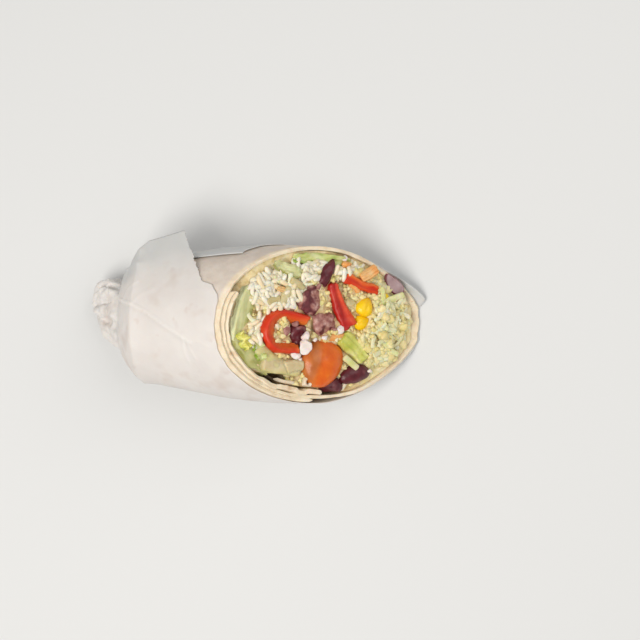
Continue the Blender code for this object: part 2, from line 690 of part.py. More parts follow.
def make_face_pieces(core):
    """Makes each piece, cuts it clear of the pieces before it, and then cuts the core clear of them all."""
    placed, made = [], []
    for name, shape, finish, where in face_pieces():
        points, faces = place(shape, *where)
        piece = add_object(name, points, faces, finish)
        combine(piece, [make_bore()], "INTERSECT")
        meeting = [
            swollen(other, *other_shape, ROOM)
            for other, other_shape in placed
            if boxes_meet(points, other_shape[0], ROOM)
        ]
        if meeting:
            combine(piece, meeting, "DIFFERENCE")
        keep_largest_body(piece)
        placed.append((name, (points, faces)))
        made.append(piece)
    combine(core, [swollen(name, *shape, ROOM) for name, shape in placed], "DIFFERENCE")
    keep_largest_body(core)
    return made


# ---- rice fused onto the core -------------------------------------------------------------
def tree_of(obj):
    work = bmesh.new()
    work.from_mesh(obj.data)
    tree = BVHTree.FromBMesh(work)
    work.free()
    return tree


def is_clear(points, faces, trees, gap):
    """True if the grain, grown by gap, meets none of the trees' surfaces and doesn't lie inside one."""
    middle = points.mean(axis=0)
    grown = (middle + (points - middle) * (1 + 2 * gap / GRAIN_WIDTH)) * MM
    grain = BVHTree.FromPolygons(grown.tolist(), [list(f) for f in faces])
    centre = Vector(middle * MM)
    for tree in trees:
        near, normal, _, _ = tree.find_nearest(centre, GRAIN_LENGTH * MM)
        if near and (centre - near).dot(normal) < 0 or grain.overlap(tree):
            return False
    return True


def fuse_grains(core, neighbours, wanted=34, seed=11):
    """Lays grains of rice over the core's face, clear of every neighbour, and joins them to it."""
    rng = random.Random(seed)
    surface = tree_of(core)
    trees = [tree_of(neighbour) for neighbour in neighbours]
    down = Vector(-H_AXIS)
    grains, centres = [], []
    for _ in range(6000):
        if len(grains) == wanted:
            break
        u, v = rng.uniform(-44, 46), rng.uniform(-33, 33)
        if (u / 49) ** 2 + (v / 32) ** 2 > 0.86:
            continue
        above = Vector(from_face(np.array([u, v, 12.0])) * MM)
        hit, normal, _, _ = surface.ray_cast(above, down)
        if hit is None or normal.dot(-down) < 0.75:
            continue
        height = to_face(np.array(hit) / MM)[2]
        if height < -3.5 or any(math.hypot(u - a, v - b) < GRAIN_SPACING for a, b in centres):
            continue
        long_grain = GRAIN_LENGTH * rng.uniform(0.85, 1.1)
        grain = blob(long_grain, GRAIN_WIDTH, GRAIN_WIDTH, around=5, rings=4)
        turn, tip = rng.uniform(0, 360), rng.uniform(-14, 14)
        points, faces = place(grain, u, v, height + GRAIN_RISE, turn, tip)
        if not is_clear(points, faces, trees, GAP + 0.1):
            continue
        grains.append(add_object(f"grain_{len(grains)}", points, faces, "rice"))
        centres.append((u, v))
    print("grains of rice", len(grains))
    combine(core, grains, "UNION")
    keep_largest_body(core)


# ---- the whole ----------------------------------------------------------------------------
def move_to_origin(objects):
    """Moves all the meshes so that the origin is the middle of the underside."""
    corners = np.array([v.co for obj in objects for v in obj.data.vertices])
    low, high = corners.min(axis=0), corners.max(axis=0)
    shift = Vector((-(low[0] + high[0]) / 2, -(low[1] + high[1]) / 2, -low[2]))
    for obj in objects:
        for vertex in obj.data.vertices:
            vertex.co += shift
    print("moved by", [round(s / MM, 3) for s in shift])


def main():
    for obj in list(bpy.data.objects):
        bpy.data.objects.remove(obj)
    paper = make_paper()
    flatbread = make_flatbread()
    core = make_core()
    pieces = make_face_pieces(core)
    fuse_grains(core, [flatbread, *pieces])
    everything = [paper, flatbread, core, *pieces]
    move_to_origin(everything)
    for obj in everything:
        finish_object(obj)
        print(obj.name, len(obj.data.polygons))


main()
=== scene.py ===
import bmesh
import bpy
import numpy as np
from mathutils import Matrix, Vector
from mathutils.bvhtree import BVHTree


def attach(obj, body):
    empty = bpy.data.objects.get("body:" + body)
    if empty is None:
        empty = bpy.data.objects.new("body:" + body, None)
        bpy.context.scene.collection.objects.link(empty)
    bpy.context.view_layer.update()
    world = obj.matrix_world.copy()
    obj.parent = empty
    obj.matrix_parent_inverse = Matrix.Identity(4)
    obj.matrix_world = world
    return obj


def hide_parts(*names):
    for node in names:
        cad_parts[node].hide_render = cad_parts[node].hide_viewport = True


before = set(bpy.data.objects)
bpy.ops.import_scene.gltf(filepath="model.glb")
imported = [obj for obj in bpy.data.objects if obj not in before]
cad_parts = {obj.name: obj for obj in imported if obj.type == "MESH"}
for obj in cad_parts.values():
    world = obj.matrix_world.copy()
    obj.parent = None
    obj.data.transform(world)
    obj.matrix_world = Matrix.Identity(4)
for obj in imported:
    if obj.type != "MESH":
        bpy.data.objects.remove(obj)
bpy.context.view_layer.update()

# All shapes are worked out in millimetres in the roll's own frame: x runs along the roll from the
# tail to the cut, z is up. The cut has a frame of its own: u runs down its slope, v across it the
# same way as y, and h stands out of it.
toPart = np.array([-65.677, -3.136, 0.0])   # from the roll's frame to the part's
rng = np.random.default_rng(5)

roll = {
    "bendX": (15.0, 60.0, 84.0, 112.0, 132.0, 150.0),
    "halfWidth": (30.2, 36.3, 38.0, 37.3, 32.9, 25.8),
    "halfHeight": (25.5, 33.3, 33.5, 33.5, 33.5, 33.5),
    "endHalfWidth": 16.0,
    "endHalfHeight": 11.0,
    "endCentre": 16.0,
    "pressed": 1.2,        # how far the underside is pressed flat
    "power": 2.04,         # 2 is an ellipse, more is squarer
    "cutAngle": np.radians(37.2),
    "upperLip": (60.7, 66.2),  # x and z where the cut begins
    "taperPowers": (1.15, 0.9),
    "roundOver": (-8, -4, 0, 4, 8),   # steps along x over which the bends are averaged
}
layer = {
    "paper": 0.4, "bread": 1.2, "gap": 0.3,
    # turns in degrees where the folded end, and its crumpled part, begin, are full, and stop
    "foldedTurns": (-50, -35, 90, 112),
    "crumpledTurns": (38, 50, 86, 96),
    "crumpledExtra": 2.2,
}
layer["pitch"] = layer["bread"] + layer["gap"]
layer["skin"] = layer["paper"] + layer["gap"]

cutTan = np.tan(roll["cutAngle"])
lipX, lipZ = roll["upperLip"]
cutCentre = np.array([lipX + lipZ / cutTan / 2, 0.0, lipZ / 2])
uAxis = np.array([np.cos(roll["cutAngle"]), 0.0, -np.sin(roll["cutAngle"])])
vAxis = np.array([0.0, 1.0, 0.0])
hAxis = np.array([np.sin(roll["cutAngle"]), 0.0, np.cos(roll["cutAngle"])])


def ease(t):
    # 0 below 0, 1 above 1, and an S-curve between
    t = np.clip(t, 0.0, 1.0)
    return t * t * (3 - 2 * t)


def window(value, start, full, last, end):
    # rises from start to full, stays at 1, and falls from last to end
    return ease((value - start) / (full - start)) * ease((end - value) / (end - last))


latticeSteps = (73856093, 19349663, 83492791)     # these only mix the lattice's numbers well
seedStep, mixer = 1640531, 1274126177


def wobble(points, size, seed=0):
    # smooth noise from -1 to 1: random values on a lattice of that size, blended with S-curves
    place = np.asarray(points, float) / size
    low = np.floor(place).astype(np.int64)
    t = place - low
    t = t * t * (3 - 2 * t)
    total = 0.0
    for corner in range(8):
        step = np.array([corner & 1, corner >> 1 & 1, corner >> 2 & 1])
        key = ((low + step) * latticeSteps).sum(axis=-1) + seed * seedStep
        key = ((key ^ (key >> 13)) * mixer) & 0x7FFFFFFF
        key = (key ^ (key >> 15)) & 0xFFFF
        total = total + np.prod(np.where(step, t, 1 - t), axis=-1) * (key / 32767.5 - 1)
    return total


def layered(points, size, seed=0, octaves=3):
    # noise with half the strength at each halving of its size
    return sum(wobble(points, size / 2**i, seed + 7 * i) / 2**i for i in range(octaves))


def ridges(points, size, seed=0):
    # 1 on sharp winding lines and less between: one minus twice the size of the noise
    return 1 - 2 * np.abs(wobble(points, size, seed))


def noiseSum(points, terms):
    # each term is a height, a size and a seed
    return sum(height * wobble(points, size, seed) for height, size, seed in terms)


def bell(u, v, middle, reach):
    # 1 at the middle, and less around it by the square of the distance over the reach
    return np.exp(-(((u - middle[0]) / reach[0]) ** 2) - ((v - middle[1]) / reach[1]) ** 2)


def ring(columns):
    # angles all round, in columns
    return np.linspace(0, 2 * np.pi, columns, endpoint=False)[None, :]


def flat(u, v):
    # points in a plane, for noise that lies in it
    u, v = np.broadcast_arrays(u, v)
    return np.stack([u, v, 0.0 * u], axis=-1)


turnStep = 0.02       # for slopes round the outline
settleRounds = 24     # halvings of the distance to the cut


def halfSizes(x):
    # straight lines between the bends, averaged over a few steps so that the bends are round,
    # and a rounded taper to the tail end
    insidePower, outsidePower = roll["taperPowers"]
    taper = (1 - np.clip(1 - x / roll["bendX"][0], 0.0, 1.0) ** insidePower) ** outsidePower
    steps = roll["roundOver"]
    width = sum(np.interp(x + d, roll["bendX"], roll["halfWidth"]) for d in steps) / len(steps)
    height = sum(np.interp(x + d, roll["bendX"], roll["halfHeight"]) for d in steps) / len(steps)
    centre = height - roll["pressed"]
    return (
        roll["endHalfWidth"] + (width - roll["endHalfWidth"]) * taper,
        roll["endHalfHeight"] + (height - roll["endHalfHeight"]) * taper,
        roll["endCentre"] + (centre - roll["endCentre"]) * taper,
    )


def oval(turn, width, height):
    # a slightly squarish ellipse; turn 0 is the top and a quarter turn is the -y side
    s, c = np.sin(turn), np.cos(turn)
    y = -width * np.sign(s) * np.abs(s) ** (2 / roll["power"])
    z = height * np.sign(c) * np.abs(c) ** (2 / roll["power"])
    return y, z


def outline(x, turn):
    # the oval at x, on its own centre line and cut off flat at the ground
    width, height, centre = halfSizes(x)
    y, z = oval(turn, width, height)
    return y, np.maximum(z + centre, 0.0)


def wallPoint(x, turn, depth):
    # a point that deep inside the outline, square to it
    y, z = outline(x, turn)
    yAfter, zAfter = outline(x, turn + turnStep)
    yBefore, zBefore = outline(x, turn - turnStep)
    alongY, alongZ = yAfter - yBefore, zAfter - zBefore
    size = np.maximum(np.hypot(alongY, alongZ), 1e-9)
    return y - depth * alongZ / size, z + depth * alongY / size


def cutX(z):
    # the cut is a straight slope down from its upper lip
    return lipX + (lipZ - z) / cutTan


def settleOnCut(section, like):
    # x for each point of a section, so that the point lies on the slanted cut
    x = np.full_like(like, cutCentre[0])
    for _ in range(settleRounds):
        x = (x + cutX(section(x)[1])) / 2
    return cutX(section(x)[1])


def fillingDepth(turn):
    # how deep the filling begins: one layer of flatbread, and two more where it is folded
    folded = window(turn, *layer["foldedTurns"])
    crumpled = window(turn, *layer["crumpledTurns"])
    single = layer["skin"] + layer["bread"] + 1.5 * layer["gap"]
    return single + 2 * layer["pitch"] * folded + layer["crumpledExtra"] * crumpled


def toFace(points):
    # from the roll's frame to the cut's
    away = points - cutCentre
    return np.stack([away @ uAxis, away @ vAxis, away @ hAxis], axis=-1)


def fromFace(points):
    # from the cut's frame to the roll's
    return cutCentre + points[..., :1] * uAxis + points[..., 1:2] * vAxis + points[..., 2:] * hAxis


def gridQuads(rows, columns, closed=False, start=0):
    # four-sided faces between neighbours of a grid; closed joins the last column to the first
    r = np.arange(rows - 1)[:, None]
    c = np.arange(columns if closed else columns - 1)[None, :]
    after = (c + 1) % columns
    corners = [r * columns + c, r * columns + after, (r + 1) * columns + after, (r + 1) * columns + c]
    return start + np.stack(corners, axis=-1).reshape(-1, 4)


def fan(loop, tip):
    # triangles from a closed loop of points to one tip
    return np.stack([loop, np.roll(loop, -1), np.full_like(loop, tip)], axis=-1)


def tube(grid):
    # a closed tube from rows that are loops, with a middle point at each end
    rows, columns = grid.shape[:2]
    points = np.concatenate([grid.reshape(-1, 3), grid[:1].mean(axis=1), grid[-1:].mean(axis=1)])
    count = rows * columns
    first, last = np.arange(columns), np.arange(count - columns, count)
    return points, [gridQuads(rows, columns, True), fan(first, count), fan(last, count + 1)]


def twoFaced(upper, under):
    # a closed sheet from two grids alike, joined round their border
    rows, columns = upper.shape[:2]
    count = rows * columns
    index = np.arange(count).reshape(rows, columns)
    border = np.concatenate([index[0, :-1], index[:-1, -1], index[-1, :0:-1], index[:0:-1, 0]])
    edge = np.stack([border, np.roll(border, -1), np.roll(border, -1) + count, border + count], axis=-1)
    points = np.concatenate([upper.reshape(-1, 3), under.reshape(-1, 3)])
    return points, [gridQuads(rows, columns), gridQuads(rows, columns, start=count), edge]


def normalsOf(grid, closedRows=False, closedColumns=False):
    # cross product of the steps between the neighbours on both sides
    def step(axis, closed):
        if closed:
            return np.roll(grid, -1, axis) - np.roll(grid, 1, axis)
        return np.gradient(grid, axis=axis)

    square = np.cross(step(0, closedRows), step(1, closedColumns))
    return square / np.maximum(np.linalg.norm(square, axis=-1, keepdims=True), 1e-9)


def addPiece(name, shape, material, nodes=(), marks=None, tints=None):
    # a mesh with its two attributes, riding on the root, in place of the nodes given
    points, faces = shape
    mesh = bpy.data.meshes.new(name)
    listed = [face for group in faces for face in group.tolist()]
    mesh.from_pydata(((points + toPart) / 1000).tolist(), [], listed)
    for title, values in (("mark", marks), ("tint", tints)):
        held = mesh.attributes.new(title, "FLOAT", "POINT")
        values = np.zeros(len(points)) if values is None else np.asarray(values, float).ravel()
        held.data.foreach_set("value", values.astype(np.float32))
    work = bmesh.new()
    work.from_mesh(mesh)
    bmesh.ops.recalc_face_normals(work, faces=work.faces[:])
    work.to_mesh(mesh)
    work.free()
    mesh.shade_smooth()
    mesh.materials.append(material)
    parts = name.split("_")
    piece = bpy.data.objects.new(parts[0] + "".join(part.title() for part in parts[1:]), mesh)
    bpy.context.scene.collection.objects.link(piece)
    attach(piece, "root")
    if nodes:
        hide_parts(*nodes)
    return piece


def padded(values, extra):
    # marks of a grid, followed by as many values as its shape has points besides the grid
    values = np.asarray(values, float).ravel()
    return np.concatenate([values, np.full(extra, values.mean())])


mottleRange = (0.3, 0.7)
mixInputs, mixOutput = (0, 6, 7), 2     # the colour sockets of a Mix node, which share their names


def finish(name, look):
    # Two colours of mottled pattern, plain and marked, are mixed by the piece's "mark" attribute, and
    # its "tint" attribute makes single pieces lighter or darker. Spots lie where noise is over a level.
    material = bpy.data.materials.new(name)
    material.use_nodes = True
    tree = material.node_tree
    shader = tree.nodes["Principled BSDF"]
    position = tree.nodes.new("ShaderNodeTexCoord").outputs["Object"]

    def noiseOf(size, detail=3.0, rough=0.55):
        node = tree.nodes.new("ShaderNodeTexNoise")
        node.inputs["Scale"].default_value = 1000.0 / size
        node.inputs["Detail"].default_value = detail
        node.inputs["Roughness"].default_value = rough
        tree.links.new(position, node.inputs["Vector"])
        return node.outputs["Fac"]

    def rampOf(source, stops):
        node = tree.nodes.new("ShaderNodeValToRGB")
        bar = node.color_ramp.elements
        while len(bar) < len(stops):
            bar.new(0.5)
        for element, (at, colour) in zip(bar, stops):
            element.position = at
            element.color = (*colour, 1.0) if not np.isscalar(colour) else (colour, colour, colour, 1.0)
        tree.links.new(source, node.inputs["Fac"])
        return node.outputs["Color"]

    def mixOf(share, first, second, how="MIX"):
        node = tree.nodes.new("ShaderNodeMix")
        node.data_type = "RGBA"
        node.blend_type = how
        for number, value in zip(mixInputs, (share, first, second)):
            socket = node.inputs[number]
            if isinstance(value, bpy.types.NodeSocket):
                tree.links.new(value, socket)
            elif np.isscalar(value):
                socket.default_value = value
            else:
                socket.default_value = (*value, 1.0)
        return node.outputs[mixOutput]

    def attributeOf(title):
        node = tree.nodes.new("ShaderNodeAttribute")
        node.attribute_name = title
        return node.outputs["Fac"]

    def mottled(colours):
        # the colours follow each other over the middle of the noise's range
        start, end = mottleRange
        step = (end - start) / (len(colours) - 1)
        stops = [(start + step * i, colour) for i, colour in enumerate(colours)]
        return rampOf(noiseOf(look["mottle"]), stops)

    def spotted(colour, spots):
        # each spot is a size, a level, how soft its edge is, and a colour
        for size, level, soft, spot in spots:
            share = rampOf(noiseOf(size, 2.0), [(level, 0.0), (level + soft, 1.0)])
            colour = mixOf(share, colour, spot)
        return colour

    plain = spotted(mottled(look["plain"]), look.get("spots", ()))
    marked = spotted(mottled(look["marked"]), look.get("markedSpots", ()))
    colour = mixOf(attributeOf("mark"), plain, marked)
    if "tinted" in look:
        dark, light = look["tinted"]
        shade = rampOf(attributeOf("tint"), [(0.0, dark), (1.0, light)])
        colour = mixOf(1.0, colour, shade, "MULTIPLY")
    tree.links.new(colour, shader.inputs["Base Color"])
    for title, value in look["set"].items():
        shader.inputs[title].default_value = value
    before = None
    for size, depth in look["bumps"]:
        bump = tree.nodes.new("ShaderNodeBump")
        bump.inputs["Distance"].default_value = depth / 1000
        tree.links.new(noiseOf(size, 3.0, 0.6), bump.inputs["Height"])
        if before:
            tree.links.new(before, bump.inputs["Normal"])
        before = bump.outputs["Normal"]
    tree.links.new(before, shader.inputs["Normal"])
    return material


def moist(weight, radius, roughness, coat=0.0, coatRoughness=0.15):
    # light spreads under the surface by about the radius, in millimetres, red the furthest
    return {
        "Specular IOR Level": 0.35,
        "Subsurface Weight": weight,
        "Subsurface Radius": (1.0, 0.6, 0.35),
        "Subsurface Scale": radius / 1000,
        "Roughness": roughness,
        "Coat Weight": coat,
        "Coat Roughness": coatRoughness,
    }


# Colours are plain and marked, sizes in millimetres, and bumps are a size and a depth.
looks = {
    # the paper is marked where it lies on the flatbread, which makes it warmer; the plain colours are the
    # paper off the flatbread, greyer and darkened with painted shade for the flap
    "paper": {
        "plain": [(0.58, 0.59, 0.58), (0.64, 0.645, 0.635)],
        "marked": [(0.75, 0.70, 0.665), (0.80, 0.76, 0.725)],
        # the paper's tint is painted light along its crease and in its tail, and painted shade beside the
        # crease
        "mottle": 16.0, "tinted": ((0.86, 0.86, 0.86), (1.0, 1.0, 1.0)),
        "markedSpots": [(13.0, 0.56, 0.20, (0.70, 0.625, 0.575)), (7.0, 0.64, 0.16, (0.70, 0.62, 0.57))],
        "set": moist(0.10, 1.0, 0.6), "bumps": [(2.2, 0.05), (0.7, 0.02)],
    },
    "flatbread": {
        "plain": [(0.74, 0.61, 0.43), (0.82, 0.70, 0.52), (0.86, 0.77, 0.61)],
        # the marked colours are painted shade, for the part of the outer face that lies in shade
        "marked": [(0.62, 0.54, 0.47), (0.71, 0.63, 0.55)],
        "mottle": 5.0,
        "spots": [(9.0, 0.64, 0.12, (0.58, 0.40, 0.23)), (2.4, 0.68, 0.10, (0.66, 0.49, 0.30))],
        "set": moist(0.25, 1.5, 0.72), "bumps": [(3.0, 0.22), (0.8, 0.08)],
    },
    "stuffing": {
        # the plain colours are the filling's own browns, darkened with painted shade for the gaps between the
        # pieces lying on it
        "plain": [(0.46, 0.31, 0.13), (0.66, 0.50, 0.27), (0.80, 0.69, 0.45)],
        "marked": [(0.68, 0.54, 0.24), (0.80, 0.69, 0.39), (0.86, 0.79, 0.54)],
        # the dark end of the tint is painted shade in the hollow
        "mottle": 3.5, "tinted": ((0.06, 0.04, 0.02), (1.0, 1.0, 1.0)),
        "set": moist(0.2, 1.5, 0.45, 0.1), "bumps": [(1.2, 0.25)],
    },
    "grain": {
        "plain": [(0.85, 0.78, 0.62), (0.91, 0.86, 0.74)],
        "marked": [(0.84, 0.68, 0.43), (0.88, 0.76, 0.54)],
        "mottle": 3.0, "tinted": ((0.92, 0.88, 0.78), (1.0, 1.0, 1.0)),
        "set": moist(0.35, 1.2, 0.36, 0.15), "bumps": [(1.0, 0.05)],
    },
    "crumb": {
        "plain": [(0.80, 0.67, 0.33), (0.88, 0.78, 0.47)],
        "marked": [(0.86, 0.78, 0.58), (0.90, 0.84, 0.70)],
        "mottle": 3.0, "tinted": ((0.90, 0.88, 0.64), (1.0, 1.0, 1.0)),
        "set": moist(0.35, 1.5, 0.42, 0.1), "bumps": [(0.8, 0.12)],
    },
    "shred": {
        "plain": [(0.76, 0.73, 0.46), (0.86, 0.83, 0.64)],
        "marked": [(0.66, 0.68, 0.28), (0.78, 0.78, 0.44)],
        "mottle": 4.0, "tinted": ((0.90, 0.90, 0.78), (1.0, 1.0, 1.0)),
        "set": moist(0.45, 1.5, 0.34, 0.15), "bumps": [(1.0, 0.06)],
    },
    "pepper": {
        "plain": [(0.56, 0.020, 0.003), (0.66, 0.040, 0.005)],
        "marked": [(0.70, 0.12, 0.014), (0.78, 0.20, 0.035)],
        "mottle": 5.0, "set": moist(0.1, 1.0, 0.42, 0.08, 0.25), "bumps": [(1.4, 0.05)],
    },
    "longPepper": {
        "plain": [(0.35, 0.006, 0.003), (0.50, 0.012, 0.005)],
        "marked": [(0.62, 0.034, 0.008), (0.74, 0.10, 0.030)],
        "mottle": 5.0, "set": moist(0.1, 1.0, 0.42, 0.10, 0.2), "bumps": [(1.4, 0.08)],
    },
    "tomato": {
        "plain": [(0.68, 0.10, 0.003), (0.78, 0.165, 0.006)],
        "marked": [(0.42, 0.105, 0.012), (0.55, 0.17, 0.028)],
        "mottle": 5.0, "set": moist(0.4, 3.0, 0.36, 0.25, 0.08), "bumps": [(5.0, 0.20), (1.6, 0.07)],
    },
    "beanSkin": {
        "plain": [(0.060, 0.005, 0.010), (0.13, 0.014, 0.022)],
        "marked": [(0.28, 0.09, 0.10), (0.44, 0.22, 0.21)],
        "mottle": 4.0, "set": moist(0.05, 0.8, 0.38, 0.2, 0.2), "bumps": [(1.6, 0.08)],
    },
    "beanFlesh": {
        "plain": [(0.22, 0.06, 0.055), (0.40, 0.18, 0.15), (0.60, 0.38, 0.33)],
        "marked": [(0.09, 0.012, 0.018), (0.18, 0.035, 0.042)],
        "mottle": 2.4, "set": moist(0.15, 1.0, 0.5, 0.08, 0.25), "bumps": [(1.8, 0.35), (0.6, 0.12)],
    },
    "halfBean": {
        "plain": [(0.32, 0.20, 0.21), (0.48, 0.35, 0.36)],
        "marked": [(0.09, 0.014, 0.020), (0.18, 0.035, 0.045)],
        "mottle": 4.0, "set": moist(0.15, 1.0, 0.46, 0.12, 0.25), "bumps": [(1.8, 0.12)],
    },
    "corn": {
        "plain": [(0.93, 0.56, 0.003), (0.97, 0.67, 0.008)],
        "marked": [(0.80, 0.44, 0.008), (0.88, 0.54, 0.014)],
        "mottle": 4.0, "set": moist(0.3, 1.5, 0.34, 0.2, 0.12), "bumps": [(2.0, 0.05)],
    },
    "leaf": {
        "plain": [(0.56, 0.57, 0.26), (0.70, 0.69, 0.42)],
        "marked": [(0.26, 0.26, 0.05), (0.41, 0.39, 0.12)],
        "mottle": 6.0, "set": moist(0.35, 1.5, 0.38, 0.1), "bumps": [(1.8, 0.10)],
    },
    "greenLeaf": {
        "plain": [(0.54, 0.58, 0.17), (0.70, 0.71, 0.38)],
        "marked": [(0.16, 0.31, 0.012), (0.32, 0.47, 0.04)],
        "mottle": 4.0, "set": moist(0.3, 1.2, 0.38, 0.12), "bumps": [(1.5, 0.14)],
    },
    "curlyLeaf": {
        "plain": [(0.66, 0.62, 0.10), (0.82, 0.78, 0.30)],
        "marked": [(0.38, 0.40, 0.02), (0.56, 0.56, 0.07)],
        "mottle": 3.0, "set": moist(0.35, 1.2, 0.38, 0.1), "bumps": [(1.2, 0.15)],
    },
    "rib": {
        "plain": [(0.52, 0.54, 0.09), (0.66, 0.64, 0.20), (0.76, 0.72, 0.36)],
        "marked": [(0.42, 0.46, 0.06), (0.58, 0.58, 0.14)],
        "mottle": 4.0, "set": moist(0.35, 1.5, 0.36, 0.12), "bumps": [(1.5, 0.12)],
    },
    "onion": {
        "plain": [(0.52, 0.41, 0.21), (0.68, 0.58, 0.36)],
        "marked": [(0.50, 0.46, 0.16), (0.66, 0.61, 0.28)],
        "mottle": 7.0, "set": moist(0.5, 3.0, 0.34, 0.14), "bumps": [(2.5, 0.12)],
    },
    "cheese": {
        "plain": [(0.80, 0.72, 0.66), (0.88, 0.83, 0.79)],
        "marked": [(0.74, 0.56, 0.52), (0.82, 0.70, 0.65)],
        "mottle": 2.5, "set": moist(0.35, 1.5, 0.42, 0.1), "bumps": [(1.0, 0.12)],
    },
    "carrot": {
        "plain": [(0.74, 0.27, 0.05), (0.80, 0.38, 0.11)],
        "marked": [(0.78, 0.46, 0.16), (0.82, 0.56, 0.28)],
        "mottle": 3.0, "set": moist(0.35, 2.0, 0.34, 0.2), "bumps": [(1.2, 0.12)],
    },
}
finishes = {name: finish(name, look) for name, look in looks.items()}
print("materials:", len(finishes))


flatbread = {
    "foldTurn": -25.0,      # the inner end is folded back here, in degrees
    "innerEnd": 90.0,
    "crumpledFrom": 45.0,   # the folded end is crumpled from here on
    "crumpleHeight": 1.1,
    "crumples": 9.5,
    "crumpledSwell": 0.5,   # how much thicker it gets there, as a share
    "stepOut": (85.0, 115.0),
    "outerEnd": 445.0,
    "start": 1.5,
    "columns": {"crumpled": 130, "inner": 80, "bend": 14, "first": 120, "stepOut": 36, "outer": 290},
    "overlap": 0.16,        # neighbouring layers touch, so that only a fine line shows between them
    "straight": 10.0,       # rows keep their distance from the rim this far back
    "rimRough": 0.42,
    "roughReach": 2.0,
    "rimThinner": 0.12,     # a share, which fades over the reach
    "thinReach": 0.4,
    "rimRound": 0.10,
    "underPaper": 0.22,     # the outermost layer lies this much closer to the paper
    "relief": ((7.0, 0.10, 12), (1.6, 0.05, 13)),   # sizes, heights and seeds
    "shadedTurns": (-120, -70, -20, 15),
    "shadeFrom": 0.6, "shadeOver": 1.5,      # how far behind the cut the shade begins, and its length
    "rowsFar": (100, 14, 12),                # distances behind the rim, from, to and how many
    "rowsNear": (12, 0.6, 16),
    "rowLast": 0.16,
    "rowsOver": (-0.98, -0.94, -0.5, 0.0, 0.5, 0.94, 0.98),   # across the cut edge, -1 is the outer face
}


def rolledSheet():
    # The middle of the sheet as turn and depth, from its crumpled inner end, back round the fold, once
    # round the roll, out over its own start and once round again. Columns follow it, and rows go from
    # the tail along the outer face to the rim, over the cut edge and back along the inner face.
    f, count = flatbread, flatbread["columns"]
    crumpled = np.linspace(f["innerEnd"], f["crumpledFrom"], count["crumpled"])
    inner = np.linspace(f["crumpledFrom"], f["foldTurn"], count["inner"])[1:]
    bend = np.radians(np.linspace(0, 180, count["bend"]))[1:-1]
    first = np.linspace(f["foldTurn"], f["stepOut"][0], count["first"])
    stepOut = np.linspace(*f["stepOut"], count["stepOut"])[1:]
    outer = np.linspace(f["stepOut"][1], f["outerEnd"], count["outer"])[1:]
    bendTurn = f["foldTurn"] - np.degrees(np.sin(bend) * layer["pitch"] / 2 / roll["halfHeight"][1])
    turn = np.concatenate([crumpled, inner, bendTurn, first, stepOut, outer])
    share = (crumpled - f["crumpledFrom"]) / (f["innerEnd"] - f["crumpledFrom"])
    # crumpled rather than evenly wavy: noise along it, kept on the inside
    bounce = np.clip(0.45 + 0.9 * wobble(flat(share * f["crumples"], 0.0), 1.0, 2), 0, 1.1)
    # heights count layers: 0 is the outermost, 1 the one inside it, and 2 the folded end
    height = np.concatenate([
        2.0 + 0 * crumpled, 2.0 + 0 * inner, 1.5 + 0.5 * np.cos(bend), 1.0 + 0 * first,
        1 - ease((stepOut - f["stepOut"][0]) / (f["stepOut"][1] - f["stepOut"][0])), 0 * outer,
    ])
    depth = layer["skin"] + layer["bread"] / 2 + layer["pitch"] * height
    depth[: len(crumpled)] += f["crumpleHeight"] * bounce * ease(share * 5)
    angle = np.radians(turn)
    s = np.arange(len(turn))
    fromEnd = np.minimum(s, s[::-1])
    rounding = np.sqrt(1 - (1 - np.clip(fromEnd / 3.0, 0.02, 1)) ** 2)
    uneven = 0.98 + 0.02 * wobble(flat(angle * 9, height * 7), 2.0, 3)
    thick = (layer["pitch"] + f["overlap"]) / 2 * rounding * uneven
    thick[: len(crumpled)] *= 1 + f["crumpledSwell"] * ease(share * 4)

    def middle(x):
        return wallPoint(x, angle, depth)

    end = settleOnCut(middle, angle)
    y, z = middle(end)
    rimPlace = np.stack([y, z, height * 5], axis=-1)
    rough = f["rimRough"] * (layered(rimPlace, 5.0, 4) + 0.3 * wobble(rimPlace, 1.2, 8))
    behind = np.concatenate([np.linspace(*f["rowsFar"]), np.linspace(*f["rowsNear"]), [f["rowLast"]]])
    over = np.array(f["rowsOver"])
    rowBehind = np.concatenate([behind, f["rimRound"] * over**16, behind[::-1]])
    side = np.concatenate([np.full(len(behind), -1.0), over, np.full(len(behind), 1.0)])
    rows = []
    for back, across in zip(rowBehind, side):
        near = np.minimum(back, f["straight"])
        far = np.maximum(back - f["straight"], 0.0) / (behind[0] - f["straight"])
        x = end - near - far * (end - f["straight"] - f["start"]) + rough * np.exp(-back / f["roughReach"])
        rise = across * thick * (1 - f["rimThinner"] * np.exp(-back / f["thinReach"]))
        rise = rise + f["underPaper"] * np.minimum(across, 0) * (1 - ease(height / 0.5))
        y, z = wallPoint(x, angle, depth + rise)
        rows.append(np.stack([x, y, z], axis=-1))
    return np.array(rows), turn, depth


